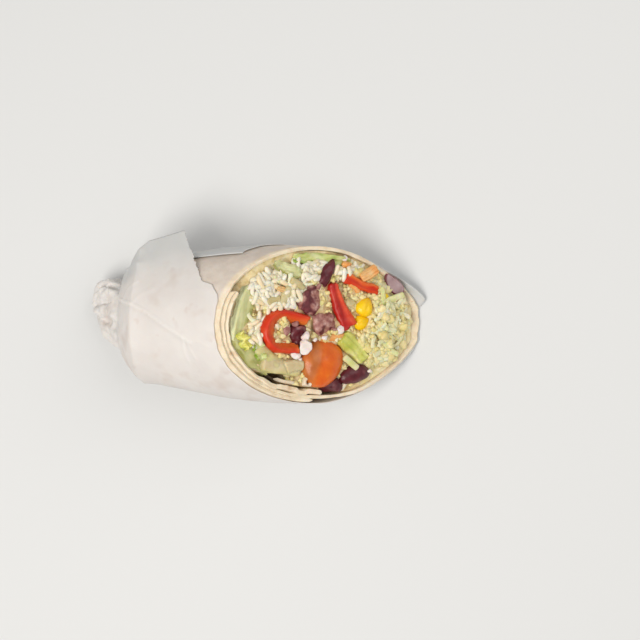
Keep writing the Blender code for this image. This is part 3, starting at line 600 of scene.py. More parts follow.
def makeFlatbread():
    # the rolled sheet with low relief, closed at both of its ends, and marked where it lies in shade
    grid, turn, depth = rolledSheet()
    (broad, broadHeight, broadSeed), (fine, fineHeight, fineSeed) = flatbread["relief"]
    relief = broadHeight * layered(grid, broad, broadSeed) + fineHeight * wobble(grid, fine, fineSeed)
    grid = grid + normalsOf(grid, closedRows=True) * relief[..., None]
    rows, columns = grid.shape[:2]
    grid[..., 2] = np.maximum(grid[..., 2], layer["paper"] + 0.1)
    points = grid.reshape(-1, 3)
    quads = gridQuads(columns, rows, True)
    turned = (quads % rows) * columns + quads // rows      # the closed way is down the rows
    down = np.arange(rows) * columns
    half, up = rows // 2, down[::-1]
    across = np.stack([down[:half], down[1 : half + 1], up[1 : half + 1], up[:half]], axis=-1)
    ends = [across, across + columns - 1]
    signed = np.where(turn > 180, turn - 360, turn)
    shaded = window(signed, *flatbread["shadedTurns"]) * (depth < layer["skin"] + layer["bread"])
    behindCut = toFace(grid)[..., 2]
    marks = shaded[None, :] * ease((-behindCut - flatbread["shadeFrom"]) / flatbread["shadeOver"])
    shape = (points, [turned, *ends])
    addPiece("rolled_bread", shape, finishes["flatbread"], ["tortilla"], marks)
    print("flatbread:", len(points), "points")


makeFlatbread()


paper = {
    "flapTurn": -35.0,        # the paper leaves the body here and runs on straight, in degrees
    "flapWidthTurn": 31.0,
    "flapTip": 37.5,
    "flapX": (1.5, 9.0, 18.7, 37.5),         # how far the flap runs on, at each x
    "flapReach": (12.0, 14.0, 24.4, 29.0),
    "flapOpens": (-6, 10),                   # from this x, over this length
    # the torn edge: x at each turn, up to where it is cut off behind the rim
    "tornTurns": (-35.0, -33.4, -30.5, -28, -22, -15),
    "tornX": (52.6, 53.6, 58.6, 59.2, 62.0, 62.8),
    "tornUntil": -12,
    "teeth": {"count": 17, "height": 1.3, "rough": 0.5},
    "behindRim": 1.2,
    "lip": (6.0, (194, 208, 216, 236)),      # a low lip under the body: its length and turns
    "endTurn": 297.0,
    "endX": 70.0,
    "endTurns": (236, 250, 262, 272, 286, 295),
    "endShares": (0.0, 0.35, 0.57, 0.65, 0.81, 1.0),
    "wall": 0.32,
    "ground": 0.02,
    "columns": (39, 210),
    "tailRows": 45,
    "tailX": (-16.2, -13.6, -9.0, -4.0, 1.5),
    "tailHalfWidth": (5.5, 12.0, 15.2, 17.2, 17.5),
    "tailHalfHeight": (2.4, 5.8, 8.2, 9.4, 12.0),
    "tailCentreY": (3.2, 3.2, 3.0, 2.8, 0.0),
    "tailCentreZ": (9.0, 9.6, 11.0, 13.6, 16.2),
    "slant": 0.2,
    "pleats": 9,
    "pleatDepth": 0.13,
    # the sheet's folds as height, size and seed, all of ridged noise
    "crumple": ((1.3, 8.0, 21), (0.8, 4.0, 22), (0.3, 2.2, 26)),
    "crumpleLow": 0.9,
    "shoulder": (0.5, 8.0, 25),
    "flare": 0.5,             # how far the other end stands off the flatbread
    # the crease pressed into the top of the body, as x and y in the roll's frame, and its branches
    "creaseHeight": 0.55,
    "branchHeight": 0.24,
    "creaseWidth": 0.6,
    "crease": ((0.0, 11.0), (15.2, 8.7), (24.4, 4.6), (34.0, -0.9), (44.2, -6.3), (48.5, -8.6)),
    "branches": (((46.7, -8.1), (47.9, -11.9), (50.5, -16.2)), ((44.2, -6.3), (44.7, -13.4), (46.6, -18.2)),
                 ((48.5, -8.6), (53.3, -8.0), (58.0, -10.0)), ((15.2, 8.7), (20.0, 13.5), (27.0, 16.0)),
                 ((8.0, 10.0), (12.0, 16.0), (17.0, 19.5))),
}


def paperEdge(turn):
    # how far along x the paper reaches on the body: to just behind the rim, and torn back on one side
    p = paper
    reach = settleOnCut(lambda x: outline(x, np.radians(turn)), turn) - p["behindRim"]
    torn = np.interp(turn, p["tornTurns"], p["tornX"])
    reach = np.where(turn < p["tornUntil"], np.minimum(torn, reach), reach)
    reach = reach + p["lip"][0] * window(turn, *p["lip"][1])
    return reach + (p["endX"] - reach) * np.interp(turn, p["endTurns"], p["endShares"])


def nearLine(x, y, line):
    # distance in plan from a line of straight stretches
    line = np.asarray(line, float)
    best = np.full(np.shape(x), 1e3)
    for a, b in zip(line[:-1], line[1:]):
        along = b - a
        share = np.clip(((x - a[0]) * along[0] + (y - a[1]) * along[1]) / (along @ along), 0, 1)
        best = np.minimum(best, np.hypot(x - a[0] - share * along[0], y - a[1] - share * along[1]))
    return best


def paperGrid():
    # Columns go round the body from the flap's free edge to the other end, rows from the tail's tip
    # to the edge at the cut. The flap leaves the body on a tangent; the tail is a pleated oval.
    p = paper
    flapShare = np.linspace(1, 0, p["columns"][0] + 1)[:-1]
    bodyTurn = np.linspace(p["flapTurn"], p["endTurn"], p["columns"][1])
    share = np.concatenate([flapShare, 0 * bodyTurn])
    turn = np.concatenate([p["flapTurn"] - p["flapWidthTurn"] * flapShare, bodyTurn])
    angle = np.radians(turn)
    edge = paperEdge(bodyTurn)
    edge = np.concatenate([p["flapTip"] + (1 - flapShare) * (edge[0] - p["flapTip"]), edge])
    # the torn edge of the flap is finely toothed
    tooth = p["teeth"]
    teeth = np.abs((share * tooth["count"]) % 1 - 0.5) * tooth["height"]
    teeth = teeth + tooth["rough"] * wobble(flat(angle * 30, angle), 1.0, 5)
    edge = edge + np.where(share > 0, teeth - 0.4, 0.25 * wobble(flat(angle * 38, angle), 3.0, 6))
    bodyStart = p["tailX"][-1]
    grid = []
    for x in np.linspace(p["tailX"][0], bodyStart, p["tailRows"] + 1)[:-1]:
        keys = ("tailHalfWidth", "tailHalfHeight", "tailCentreY", "tailCentreZ")
        width, height, centreY, centreZ = (np.interp(x, p["tailX"], p[key]) for key in keys)
        # in the tail the other end of the sheet runs on under the flap's end, so that it is closed
        around = angle + np.radians(16) * ease((turn - 230) / 55) * ease((6 - x) / 5)
        tuck = 1 - 0.05 * ease((turn - 270) / 12)
        y, z = oval(around, width * tuck, height * tuck)
        pleat = 1 + p["pleatDepth"] * np.cos(p["pleats"] * angle) * ease((width - 2) / 8) * ease((2 - x) / 8)
        fade = ease((bodyStart - x) / 5.0)
        xs = x - (p["slant"] * y + 0.9 * np.cos(p["pleats"] * angle + 1.0)) * fade
        grid.append(np.stack([xs, y * pleat + centreY, z * pleat + centreZ], axis=-1))
    lift = np.radians(p["flapTurn"])
    # rows are close together on the taper, and evenly spread from there
    for f in np.concatenate([np.linspace(0, 0.25, 40)[:-1], np.linspace(0.25, 1, 90)]):
        x = bodyStart + f * (edge - bodyStart)
        y, z = outline(x, angle)
        baseY, baseZ = outline(x, lift)
        beforeY, beforeZ = outline(x, lift + turnStep)
        size = np.hypot(baseY - beforeY, baseZ - beforeZ)
        length = np.interp(x, p["flapX"], p["flapReach"]) * share
        lifted = np.where(share > 0, ease((x - p["flapOpens"][0]) / p["flapOpens"][1]), 0.0)
        y = y + (baseY + (baseY - beforeY) / size * length - y) * lifted
        z = z + (baseZ + (baseZ - beforeZ) / size * length - z) * lifted
        grid.append(np.stack([x, y, z], axis=-1))
    return np.array(grid), turn[None, :], share[None, :]


def makePaper():
    # the grid pushed out by crumples in the tail and by the crease on top, then given a wall outwards
    p = paper
    grid, turn, share = paperGrid()
    out = -normalsOf(grid)
    x, y, z = grid[..., 0], grid[..., 1], grid[..., 2]
    tail = ease((6 - x) / 10)
    crumple = sum(height * ridges(grid, size, seed) for height, size, seed in p["crumple"]) - p["crumpleLow"]
    body = 0.18 * layered(grid, 26.0, 23) + 0.10 * np.maximum(ridges(grid, 11.0, 24), 0) ** 3
    crease = p["creaseHeight"] * np.exp(-((nearLine(x, y, p["crease"]) / p["creaseWidth"]) ** 2))
    for branch in p["branches"]:
        crease = crease + p["branchHeight"] * np.exp(-((nearLine(x, y, branch) / p["creaseWidth"]) ** 2))
    # painted light makes the paper paler along the crease and in the tail, and painted shade makes it a
    # little darker beside the crease
    creaseShade = np.exp(-((nearLine(x, y + 1.6, p["crease"]) / 1.2) ** 2))
    tints = np.clip(0.6 + 0.4 * tail + (0.9 * crease - 0.3 * creaseShade) * ease((z - 20) / 10), 0, 1)
    upper = ease((z - 25) / 15)
    height, size, seed = p["shoulder"]
    shoulder = height * ridges(grid, size, seed) * window(x, -2, 4, 10, 22)
    flare = p["flare"] * ease((turn - 270) / 24) * ease((x - 16) / 14)
    push = crumple * tail + (body + 0.02) * (1 - tail) + crease * upper * (1 - tail * 0.5) + shoulder + flare
    push = np.maximum(push, -0.12 * (1 - tail) - 1.0 * tail)
    inner = grid + out * push[..., None]
    inner[..., 2] = np.maximum(inner[..., 2], p["ground"])
    outer = inner - normalsOf(inner) * p["wall"]
    outer[..., 2] = np.maximum(outer[..., 2], p["ground"] + p["wall"])
    points, faces = twoFaced(inner, outer)
    # marked, which is warmer, where it lies on the flatbread, and less so in the tail; the unmarked flap
    # keeps the painted shade of the plain colours
    warmAndUnshaded = (1 - ease(share / 0.8)) * ease((x + 4) / 10) * ease((z - 6) / 10)
    warmAndUnshaded = np.maximum(warmAndUnshaded * ease((290 - turn) / 40), 0.75 * ease((4 - x) / 6))
    # the small opening at the tail's tip is closed on both faces
    rows, columns = grid.shape[:2]
    tips = np.array([inner[0].mean(axis=0) - [0.6, 0, 0], outer[0].mean(axis=0) - [0.3, 0, 0]])
    start = len(points)
    top, under = np.arange(columns), np.arange(columns) + rows * columns
    faces.append(np.stack([top[:-1], top[1:], np.full(columns - 1, start)], axis=-1))
    faces.append(np.stack([under[:-1], under[1:], np.full(columns - 1, start + 1)], axis=-1))
    faces[2] = faces[2][columns - 1:]
    faces.append(np.array([[top[0], under[0], start + 1, start], [top[-1], under[-1], start + 1, start]]))
    marks = np.concatenate([warmAndUnshaded.ravel(), warmAndUnshaded.ravel(), [0, 0]])
    tints = np.concatenate([tints.ravel(), tints.ravel(), [0.6, 0.6]])
    shape = (np.concatenate([points, tips]), faces)
    addPiece("wrapping_paper", shape, finishes["paper"], ["paper_wrap"], marks, tints)
    print("paper:", len(points), "points")


makePaper()


stuffing = {
    "columns": 460, "rings": 130,
    "recess": 1.8,                             # how far it starts behind the rim
    "rimPower": 14,                            # more makes the step down from the rim sharper
    "mound": (1.8, 3.2, (46, 34)),             # height, fall, and reach in u and v
    "rise": (3.6, (34, -1), (12, 17)),         # height, middle and reach, of the part on the lower right
    "hollow": (8.0, (-25, -25.6), (7.5, 2.8)),
    "riceArea": ((-22, 21), (20, 15)),
    # noise as height, size and seed; lumps are rounded, with narrow valleys between them
    "clumps": ((1.5, 6.5, 31),),
    "crumbs": ((0.9, 3.2, 32), (0.45, 1.5, 33)),
    "lumps": ((2.4, 5.0, 34), (1.3, 2.4, 35), (0.6, 1.2, 36)),
    "lumpsFrom": (10, 14),                     # from this u, over this length
}


def inHole(u, v):
    # 1 in the dark hollow low on the left, where nothing fills the roll
    return bell(u, v, *stuffing["hollow"][1:])


def faceHeight(u, v):
    # a low mound, higher on the lower right, with a hollow low on the left, and clumps and crumbs on it
    f = stuffing
    height, fall, reach = f["mound"]
    mound = height - fall * ((u / reach[0]) ** 2 + (v / reach[1]) ** 2)
    right = f["rise"][0] * bell(u, v, *f["rise"][1:])
    spot = flat(u, v)
    lumps = sum(height * np.abs(wobble(spot, size, seed)) for height, size, seed in f["lumps"])
    crumbs = noiseSum(spot, f["crumbs"]) + (lumps - 1.0) * ease((u - f["lumpsFrom"][0]) / f["lumpsFrom"][1])
    return mound + right + noiseSum(spot, f["clumps"]) + crumbs - f["hollow"][0] * inHole(u, v)


def makeStuffing():
    # The side wall follows the inside of the flatbread up to just behind the rim, and from there rings
    # shrink to the middle of the face, raised by the face's relief.
    turn = np.linspace(0, 360, stuffing["columns"], endpoint=False)
    signed = np.where(turn > 300, turn - 360, turn)
    angle = np.radians(turn)
    depth = fillingDepth(signed) + 0.1

    def section(x):
        return wallPoint(x, angle, depth)

    end = settleOnCut(section, angle) - stuffing["recess"]
    rows = []
    for x in [np.full_like(angle, 9.0)] + [15 + (end - 15) * f for f in np.linspace(0, 1, 12)]:
        rows.append(np.stack([x, *section(x)], axis=-1))
    first = rows[0].mean(axis=0)
    rows.insert(0, first + (rows[0] - first) * [1, 0.5, 0.5] - [1.5, 0, 0])
    rim = toFace(rows[-1])
    for share in np.linspace(1, 0, stuffing["rings"] + 1)[1:-1]:
        u, v = rim[:, 0] * share, rim[:, 1] * share
        h = rim[:, 2] + (faceHeight(u, v) - rim[:, 2]) * (1 - share ** stuffing["rimPower"])
        rows.append(fromFace(np.stack([u, v, h], axis=-1)))
    points, faces = tube(np.array(rows))
    face = toFace(points)
    u, v, h = face.T
    # marked, which is paler, on the right and under the rice, and tinted dark with painted shade in the
    # hollow
    onRight = ease((u - 14) / 12) * ease((h + 8) / 4)
    marks = np.maximum(onRight, bell(u, v, *stuffing["riceArea"]))
    tints = 1 - ease(1.6 * inHole(u, v)) * (h < 1)
    core = addPiece("filling_core", (points, faces), finishes["stuffing"], ["filling"], marks, tints)
    print("filling:", len(points), "points")
    return core


fillingCore = makeStuffing()


def blob(length, width, height, rows=40, columns=56):
    # an ellipsoid along its own x, as rows of loops
    lengthwise = -np.cos(np.linspace(0.06, np.pi - 0.06, rows))[:, None]
    radius = np.sqrt(1 - lengthwise**2)
    t = ring(columns)
    return np.stack([
        lengthwise * length / 2 + 0 * t, radius * np.cos(t) * width / 2, radius * np.sin(t) * height / 2,
    ], axis=-1)


def strip(path, widths, heights, power=3.0, rows=64, columns=40, blunt=0.06, rise=0.0):
    # a squarish profile carried along a flat path; widths lie in the face, heights stand out of it,
    # and the ends are rounded over a small share of the length
    s = np.linspace(0, 1, rows)

    def spread(values):
        # evenly spaced values, read at each row
        values = np.atleast_1d(values)
        return np.interp(s, np.linspace(0, 1, len(values)), values)

    line = np.stack([spread(values) for values in np.asarray(path, float).T], axis=-1)
    for _ in range(3):
        line[1:-1] = (line[:-2] + 2 * line[1:-1] + line[2:]) / 4
    along = np.gradient(line, axis=0)
    along /= np.linalg.norm(along, axis=1, keepdims=True)
    side = np.stack([-along[:, 1], along[:, 0]], axis=-1)
    intoEnd = np.clip((np.abs(2 * s - 1) - 1 + 2 * blunt) / (2 * blunt), 0, 0.985)
    ends = np.sqrt(np.clip(1 - intoEnd**2, 0, 1))
    wide, tall, lift = spread(widths) * ends, spread(heights) * ends, spread(rise)
    t = ring(columns)
    across = np.sign(np.cos(t)) * np.abs(np.cos(t)) ** (2 / power)
    upward = np.sign(np.sin(t)) * np.abs(np.sin(t)) ** (2 / power)
    return np.stack([
        line[:, :1] + side[:, :1] * across * wide[:, None] / 2,
        line[:, 1:] + side[:, 1:] * across * wide[:, None] / 2,
        upward * tall[:, None] / 2 + lift[:, None],
    ], axis=-1)


def bar(length, width, height, bow=0.0, taper=0.0, **more):
    # a gently bowed strip along its own x, wider at its far end
    t = np.linspace(-1, 1, 9)
    path = np.stack([t * length / 2, bow * (1 - t**2)], axis=-1)
    return strip(path, width * (1 + taper * t), height, **more)


leafShape = {
    "rows": 30, "columns": 90, "thick": 0.8,
    "pointed": 0.75, "uneven": 0.10,     # how much it narrows to its ends, and how unevenly
    "noise": 0.6,                        # beside the waves' height of 1
    "frill": 0.25, "frills": 15,         # height and number of the small waves at the edge
    "rib": 0.15, "ribWidth": 0.12, "ribSlant": 0.3,
}


def leafFaces(length, width, waves, height, seed):
    # a thin leaf: a flat almond shape, raised by waves along it and by noise, with a frilled edge
    f = leafShape
    along = np.linspace(-1, 1, f["columns"])[None, :]
    across = np.linspace(-1, 1, f["rows"])[:, None]
    edgeNoise = wobble(flat(along * 4 + seed, across * 0), 0.6, 40)
    narrow = np.sqrt(1 - f["pointed"] * along**2) * (1 + f["uneven"] * edgeNoise)
    ripple = np.sin(waves * along * 3 + seed) * (0.35 + np.abs(across))
    spots = np.stack(np.broadcast_arrays(along * 2, across * 2, seed), -1)
    ripple = ripple + f["noise"] * wobble(spots, 1.0, 41)
    frill = f["frill"] * np.sin(along * f["frills"] + seed * 3) * np.abs(across) ** 3
    rib = f["rib"] * np.exp(-(((across - f["ribSlant"] * along) / f["ribWidth"]) ** 2))
    x = along * length / 2 + 0 * across
    y = across * width / 2 * narrow
    z = (ripple + frill) * height / 2 + rib
    upper = np.stack([x, y, z], axis=-1)
    out = normalsOf(upper)
    under = upper - out * np.sign(out[..., 2:]) * f["thick"]
    mark = np.clip(ease((-across - 0.1) / 0.9) + 0.5 * wobble(flat(along * 5, across * 2), 1.0, 42), 0, 1)
    return upper, under, mark


def place(points, u, v, h, turn=0.0, pitch=0.0, tilt=0.0):
    # tipped at its side by tilt and up at its far end by pitch, turned about h, and set in the face
    spin = Matrix.Rotation(np.radians(turn), 3, "Z") @ Matrix.Rotation(np.radians(-pitch), 3, "Y")
    spin = np.array(spin @ Matrix.Rotation(np.radians(tilt), 3, "X"))
    return fromFace(points @ spin.T + [u, v, h])


def keepInside(points):
    # draws points that would reach into the flatbread back onto its inner face
    x = points[..., 0]
    width, height, centre = halfSizes(x)
    y, z = points[..., 1], points[..., 2] - centre
    turn = np.degrees(np.arctan2(-y / width, z / height))
    depth = fillingDepth(np.where(turn < -60, turn + 360, turn)) - 0.15
    reach = (np.abs(y / (width - depth)) ** roll["power"] + np.abs(z / (height - depth)) ** roll["power"])
    reach = np.maximum(reach ** (1 / roll["power"]), 1.0)
    return np.stack([x, y / reach, np.maximum(z / reach + centre, layer["skin"] + layer["bread"])], axis=-1)


def roughen(grid, size, amount, seed, octaves=3):
    # pushes a tube's points out and in along their normals by noise
    push = amount * layered(grid, size, seed, octaves)
    return grid + normalsOf(grid, closedColumns=True) * push[..., None]


def facetted(grid, count, keep, seed):
    # cut flat by that many planes, each square to a random direction at a share of the reach
    chance = np.random.default_rng(seed)
    for _ in range(count):
        way = chance.normal(size=3)
        way /= np.linalg.norm(way)
        reach = grid @ way
        grid = grid - np.maximum(reach - keep * reach.max(), 0)[..., None] * way
    return grid


def joined(shapes):
    # several closed shapes as one
    starts = np.cumsum([0] + [len(points) for points, _ in shapes])
    points = np.concatenate([points for points, _ in shapes])
    return points, [group + start for start, (_, groups) in zip(starts, shapes) for group in groups]


toppings = []


def addTopping(node, grid, where, look, mark):
    # a closed tube set in the cut in place of its node
    shape = tube(keepInside(place(grid, *where)))
    toppings.append(addPiece(node + "_piece", shape, finishes[look], [node], padded(mark, 2)))


pepperCurl = {
    "where": (-20.6, -3.2, 1.2), "outer": 10.9, "bend": (78, 262), "upperArm": 12.0, "lowerArm": 10.0,
    "wall": (5.0, 5.8, 7.2, 9.0, 7.8, 6.0, 5.0), "tall": 9.6,
    "slope": 4.2, "ragged": 1.6, "rows": 150, "columns": 72,
}
pepperStrips = {
    "pepper_strip_long": {
        "size": (23.5, 6.8, 5.0), "bow": -0.9, "taper": 0.28,
        "where": (9.8, 9.0, 2.4, -67, 3), "look": "longPepper",
    },
    "pepper_strip_short": {
        "size": (18.5, 4.9, 4.2), "bow": -1.0, "taper": -0.2,
        "where": (20.6, 19.8, 2.2, -20), "look": "pepper",
    },
}
stripSurface = {"rows": 90, "columns": 56, "groove": 0.6, "ragged": 1.2}


def makePepperCurl():
    # The curl's middle line keeps half its width inside a circle round the bend. Its skin side is
    # high and glossy, and the flesh falls away towards the inside of the curl.
    c = pepperCurl
    start, end = np.radians(c["bend"])
    bend = np.linspace(start, end, 15)
    widths = np.interp(np.linspace(0.25, 0.75, len(bend)), np.linspace(0, 1, len(c["wall"])), c["wall"])
    radius = c["outer"] - widths / 2
    arc = np.stack([radius * np.cos(bend), radius * np.sin(bend)], axis=-1)
    upper = arc[0] + np.outer([1.0, 0.75, 0.5, 0.25], [np.sin(start), -np.cos(start)]) * c["upperArm"]
    lower = arc[-1] + np.outer([0.25, 0.5, 0.75, 1.0], [-np.sin(end), np.cos(end)]) * c["lowerArm"]
    path = np.concatenate([upper, arc, lower])
    grid = strip(path, c["wall"], c["tall"], power=2.6, rows=c["rows"], columns=c["columns"], blunt=0.02)
    s = np.linspace(0, 1, c["rows"])[:, None]
    t = ring(c["columns"])
    inside = ease((np.cos(t) + 0.55) / 1.25)
    grid[..., 2] -= c["slope"] * inside * window(s, -0.1, 0.25, 0.8, 1.1) * ease(np.sin(t) * 2)
    ends = np.exp(-s / 0.02) + np.exp(-(1 - s) / 0.02)
    grid[..., 0] += ends * c["ragged"] * wobble(grid, 1.6, 50)
    grid = roughen(grid, 6.0, 0.25, 51)
    mark = np.clip(inside * 0.85 + ends + 0.25 * wobble(grid, 3.0, 52), 0, 1)
    addTopping("pepper_curl", grid, c["where"], "pepper", mark)


def makePepperStrips():
    # bowed strips with a winding groove along the top, and ragged ends
    g = stripSurface
    t, along = ring(g["columns"]), np.linspace(0, 1, g["rows"])[:, None]
    across = np.cos(t)
    groove = np.exp(-(((across - 0.15 * np.sin(along * 5)) / 0.22) ** 2)) * (np.sin(t) > 0)
    ends = np.exp(-along / 0.04) + np.exp(-(1 - along) / 0.04)
    for i, (node, p) in enumerate(pepperStrips.items()):
        grid = bar(*p["size"], p["bow"], p["taper"], power=2.8, blunt=0.04,
                   rows=g["rows"], columns=g["columns"])
        grid[..., 2] -= g["groove"] * groove
        grid[..., 1] += 0.5 * wobble(flat(along * 6, across * 0.5), 1.0, 53 + i)
        grid[..., 0] += ends * g["ragged"] * wobble(grid, 1.8, 54 + i)
        grid = roughen(grid, 5.0, 0.35, 55 + i)
        streak = 0.85 * ease((across + 0.1) / 0.5) + 0.4 * wobble(grid * [0.4, 1, 1], 2.0, 57 + i)
        streak = np.clip(streak, 0, 1)
        addTopping(node, grid, p["where"], p["look"], streak)


makePepperCurl()
makePepperStrips()

tomato = {
    "size": (23.0, 22.0, 12.5), "where": (0.0, -18.7, 0.6, 75),
    "widen": 0.16,              # wider at its far end, as a share
    "square": (0.85, 10.5),     # below 1 the sides are squarer, and stay as they are at this distance
    "ridge": (0.25, 3.0, 0.9),  # height, place and reach across
}


def makeTomato():
    # a quarter tomato seen from its skin: an ellipsoid that narrows to one end, with squarer sides
    grid = blob(*tomato["size"], rows=70, columns=90)
    along = grid[..., 0] / 11.25
    grid[..., 1] *= 1 + tomato["widen"] * along
    power, still = tomato["square"]
    grid[..., 1] = np.sign(grid[..., 1]) * np.abs(grid[..., 1]) ** power * still ** (1 - power)
    height, middle, reach = tomato["ridge"]
    ridge = np.exp(-(((grid[..., 1] - middle - 0.8 * along) / reach) ** 2)) * (grid[..., 2] > 0)
    grid = roughen(grid, 9.0, 0.35, 60, 2)
    grid[..., 2] += height * ridge
    mark = np.clip(ease((grid[..., 1] - 0.8 - 0.8 * along) / 4.0) * 0.95 + 0.3 * wobble(grid, 4.0, 61), 0, 1)
    addTopping("tomato_wedge", grid, tomato["where"], "tomato", mark)


makeTomato()

beans = {
    "bean_whole": {"size": (16.5, 9.6, 8.6), "where": (18.2, -24.8, 0.4, 14), "kind": "kidney"},
    "bean_low": {"size": (12.5, 8.4, 7.4), "where": (6.2, -30.4, -0.6, 5), "kind": "kidney"},
    "bean_skin": {"size": (17.0, 6.2, 5.4), "where": (2.4, 23.7, 1.4, 65), "kind": "torn"},
    "bean_in_curl": {"size": (12.5, 10.0, 8.0), "where": (-11.5, -4.6, 0.2, -63), "kind": "torn"},
    "bean_halved": {"size": (13.5, 8.0, 7.6), "where": (38.8, 19.6, 1.2, -52), "kind": "halved"},
    "bean_broken_upper": {"size": (16.5, 12.5, 8.6), "where": (-7.2, 11.1, 1.4, 25), "kind": "broken"},
    "bean_broken_middle": {"size": (15.5, 12.0, 8.8), "where": (1.3, 0.6, 1.0, -41), "kind": "broken"},
}


beanKinds = {
    "kidney": {"bend": 0.16, "worn": 0.3},                 # shares of half its length, and of the mark
    "halved": {"flat": 0.30, "rim": 0.25, "rimAt": 0.84},  # the rim is at this share of the reach
    "torn": {"planes": 5, "keep": 0.78, "rough": (4.0, 0.5)},
    "broken": {"swell": 1.08, "planes": 9, "keep": 0.72, "rough": (5.0, 0.8)},
}


def makeBeans():
    # ellipsoids, bent or cut by their kind, with skin marked by patches of noise
    for i, (node, b) in enumerate(beans.items()):
        grid = blob(*b["size"], rows=56, columns=72)
        half = b["size"][0] / 2
        along = grid[..., 0] / half
        look, slotName, kind = "beanSkin", "bean", beanKinds[b["kind"]]
        mark = 0.8 * ease((wobble(grid, 3.5, 70 + i) - 0.35) / 0.4)
        if b["kind"] == "kidney":
            grid[..., 1] += kind["bend"] * (1 - along**2) * half
            mark = mark * kind["worn"]
        if b["kind"] == "halved":
            # split along its length: the upper side is nearly flat, with the skin standing round it
            look, slotName = "halfBean", "bean_flesh"
            edge = np.hypot(along, grid[..., 1] / (b["size"][1] / 2))
            up = grid[..., 2] > 0
            low = grid[..., 2] * kind["flat"] + kind["rim"] * ease((edge - 0.8) / 0.1)
            grid[..., 2] = np.where(up, low, grid[..., 2])
            mark = np.where(up, ease((edge - kind["rimAt"]) / 0.10), 1.0)
        if b["kind"] == "torn":
            grid = facetted(grid, kind["planes"], kind["keep"], 72 + i)
            grid = roughen(grid, *kind["rough"], 73 + i)
        if b["kind"] == "broken":
            # crushed: cut flat by a few planes, then roughened, with dark skin left on some of them
            look, slotName = "beanFlesh", "bean_flesh"
            grid = facetted(grid * kind["swell"], kind["planes"], kind["keep"], 82 + i)
            grid = roughen(grid, *kind["rough"], 74 + i)
            mark = ease((layered(grid, 4.5, 77 + i, 2) - 0.24) / 0.28)
        grid = roughen(grid, 3.5, 0.18, 80 + i)
        addTopping(node, grid, b["where"], look, mark)


makeBeans()

corn = {
    "corn_upper": {"size": (9.4, 8.6, 7.6), "where": (22.3, 8.3, 2.2, 67)},
    "corn_lower": {"size": (8.4, 7.0, 6.6), "where": (21.1, 1.1, 1.2, 17)},
    "corn_side": {"size": (6.2, 4.8, 5.0), "where": (34.0, 12.0, 1.0, -43)},
}


kernel = {"taper": 0.3, "dent": 0.5, "dentWidth": 0.9}


def makeCorn():
    # an ellipsoid, wider at one end, with a dent along its crown
    for i, (node, k) in enumerate(corn.items()):
        grid = blob(*k["size"])
        along = grid[..., 0] / (k["size"][0] / 2)
        grid[..., 1:] *= (1 - kernel["taper"] * along)[..., None]
        dent = np.exp(-((grid[..., 1] / kernel["dentWidth"]) ** 2)) * (grid[..., 2] > 0)
        grid[..., 2] -= kernel["dent"] * dent * window(along, -0.9, -0.4, 0.3, 0.8)
        grid = roughen(grid, 3.5, 0.2, 90 + i)
        addTopping(node, grid, k["where"], "corn", ease((along - 0.2) / 0.6))


makeCorn()

# Onion, cheese, carrot and the lettuce's rib: kind of shape, its size and bow, its place in the face
# as u, v, height and turn, its look and its slot.
bits = {
    "lettuce_rib": ("bar", (17.0, 8.4, 6.0), 0.8, (16.4, -11.6, 1.4, -45), "rib", "lettuce"),
    "onion_petal": ("bar", (16.5, 7.0, 4.0), -1.8, (-26.9, -13.4, 0.8, -41), "onion", "onion"),
    "onion_shred": ("bar", (15.0, 3.4, 2.2), 0.6, (36.3, 11.4, 3.4, 24), "shred", "onion"),
    "cheese_shred": ("bar", (9.4, 3.2, 2.2), 0.0, (14.6, -18.3, 4.0, -38), "shred", "cheese"),
    "carrot_flake": ("bar", (10.0, 5.2, 3.0), 0.0, (24.4, 24.1, 2.4, 27), "carrot", "carrot"),
    "carrot_sliver": ("bar", (5.4, 2.8, 2.6), 0.0, (-20.7, 16.5, 2.0, -13), "carrot", "carrot"),
    "carrot_chip": ("lump", (4.8, 3.6, 3.2), 0.0, (12.6, 28.7, 2.0, 17), "carrot", "carrot"),
    "cheese_crumb_large": ("lump", (7.6, 6.4, 4.2), 0.0, (-9.1, -10.3, 4.4, 57), "cheese", "cheese"),
    "cheese_crumb_small": ("lump", (4.6, 4.0, 3.6), 0.0, (-9.2, -5.4, 4.6, 17), "cheese", "cheese"),
    "cheese_crumb_low": ("lump", (5.0, 4.2, 3.6), 0.0, (-13.9, -13.9, 3.4, -33), "cheese", "cheese"),
}
onionChunk = {
    "where": (-19.4, -19.6, 0.2, -7),
    "slabs": (((20.5, 7.4, 6.2), (-0.8, -1.0, -0.6), -2), ((9.5, 6.0, 6.6), (5.2, 0.2, 0.7), 14)),
}


def makeBits():
    # bars with ribs or a rough skin, and lumps cut flat by planes
    for i, (node, (kind, size, bow, where, look, slotName)) in enumerate(bits.items()):
        if kind == "bar":
            grid = bar(*size, bow, blunt=0.08, power=2.5)
            if look in ("rib", "carrot"):
                # ribs run along it, and it is uneven across
                t = ring(grid.shape[1])
                grid[..., 2] += 0.35 * np.cos(np.cos(t) * 11) * (np.sin(t) > 0)
                grid[..., 1] += 0.12 * size[1] * wobble(flat(grid[..., 0] / 3.0, t * 0.3), 1.0, 98 + i)
            grid = roughen(grid, 4.0, 0.07 * min(size), 100 + i)
        else:
            # crumbs broken off a block, with a fine rough skin
            grid = blob(*(1.15 * np.array(size)), rows=30, columns=40)
            grid = roughen(facetted(grid, 12, 0.74, 96 + i), 1.6, 0.14, 100 + i)
        mark = np.clip(0.5 + wobble(grid, 4.0, 120 + i), 0, 1)
        addTopping(node, grid, where, look, mark)


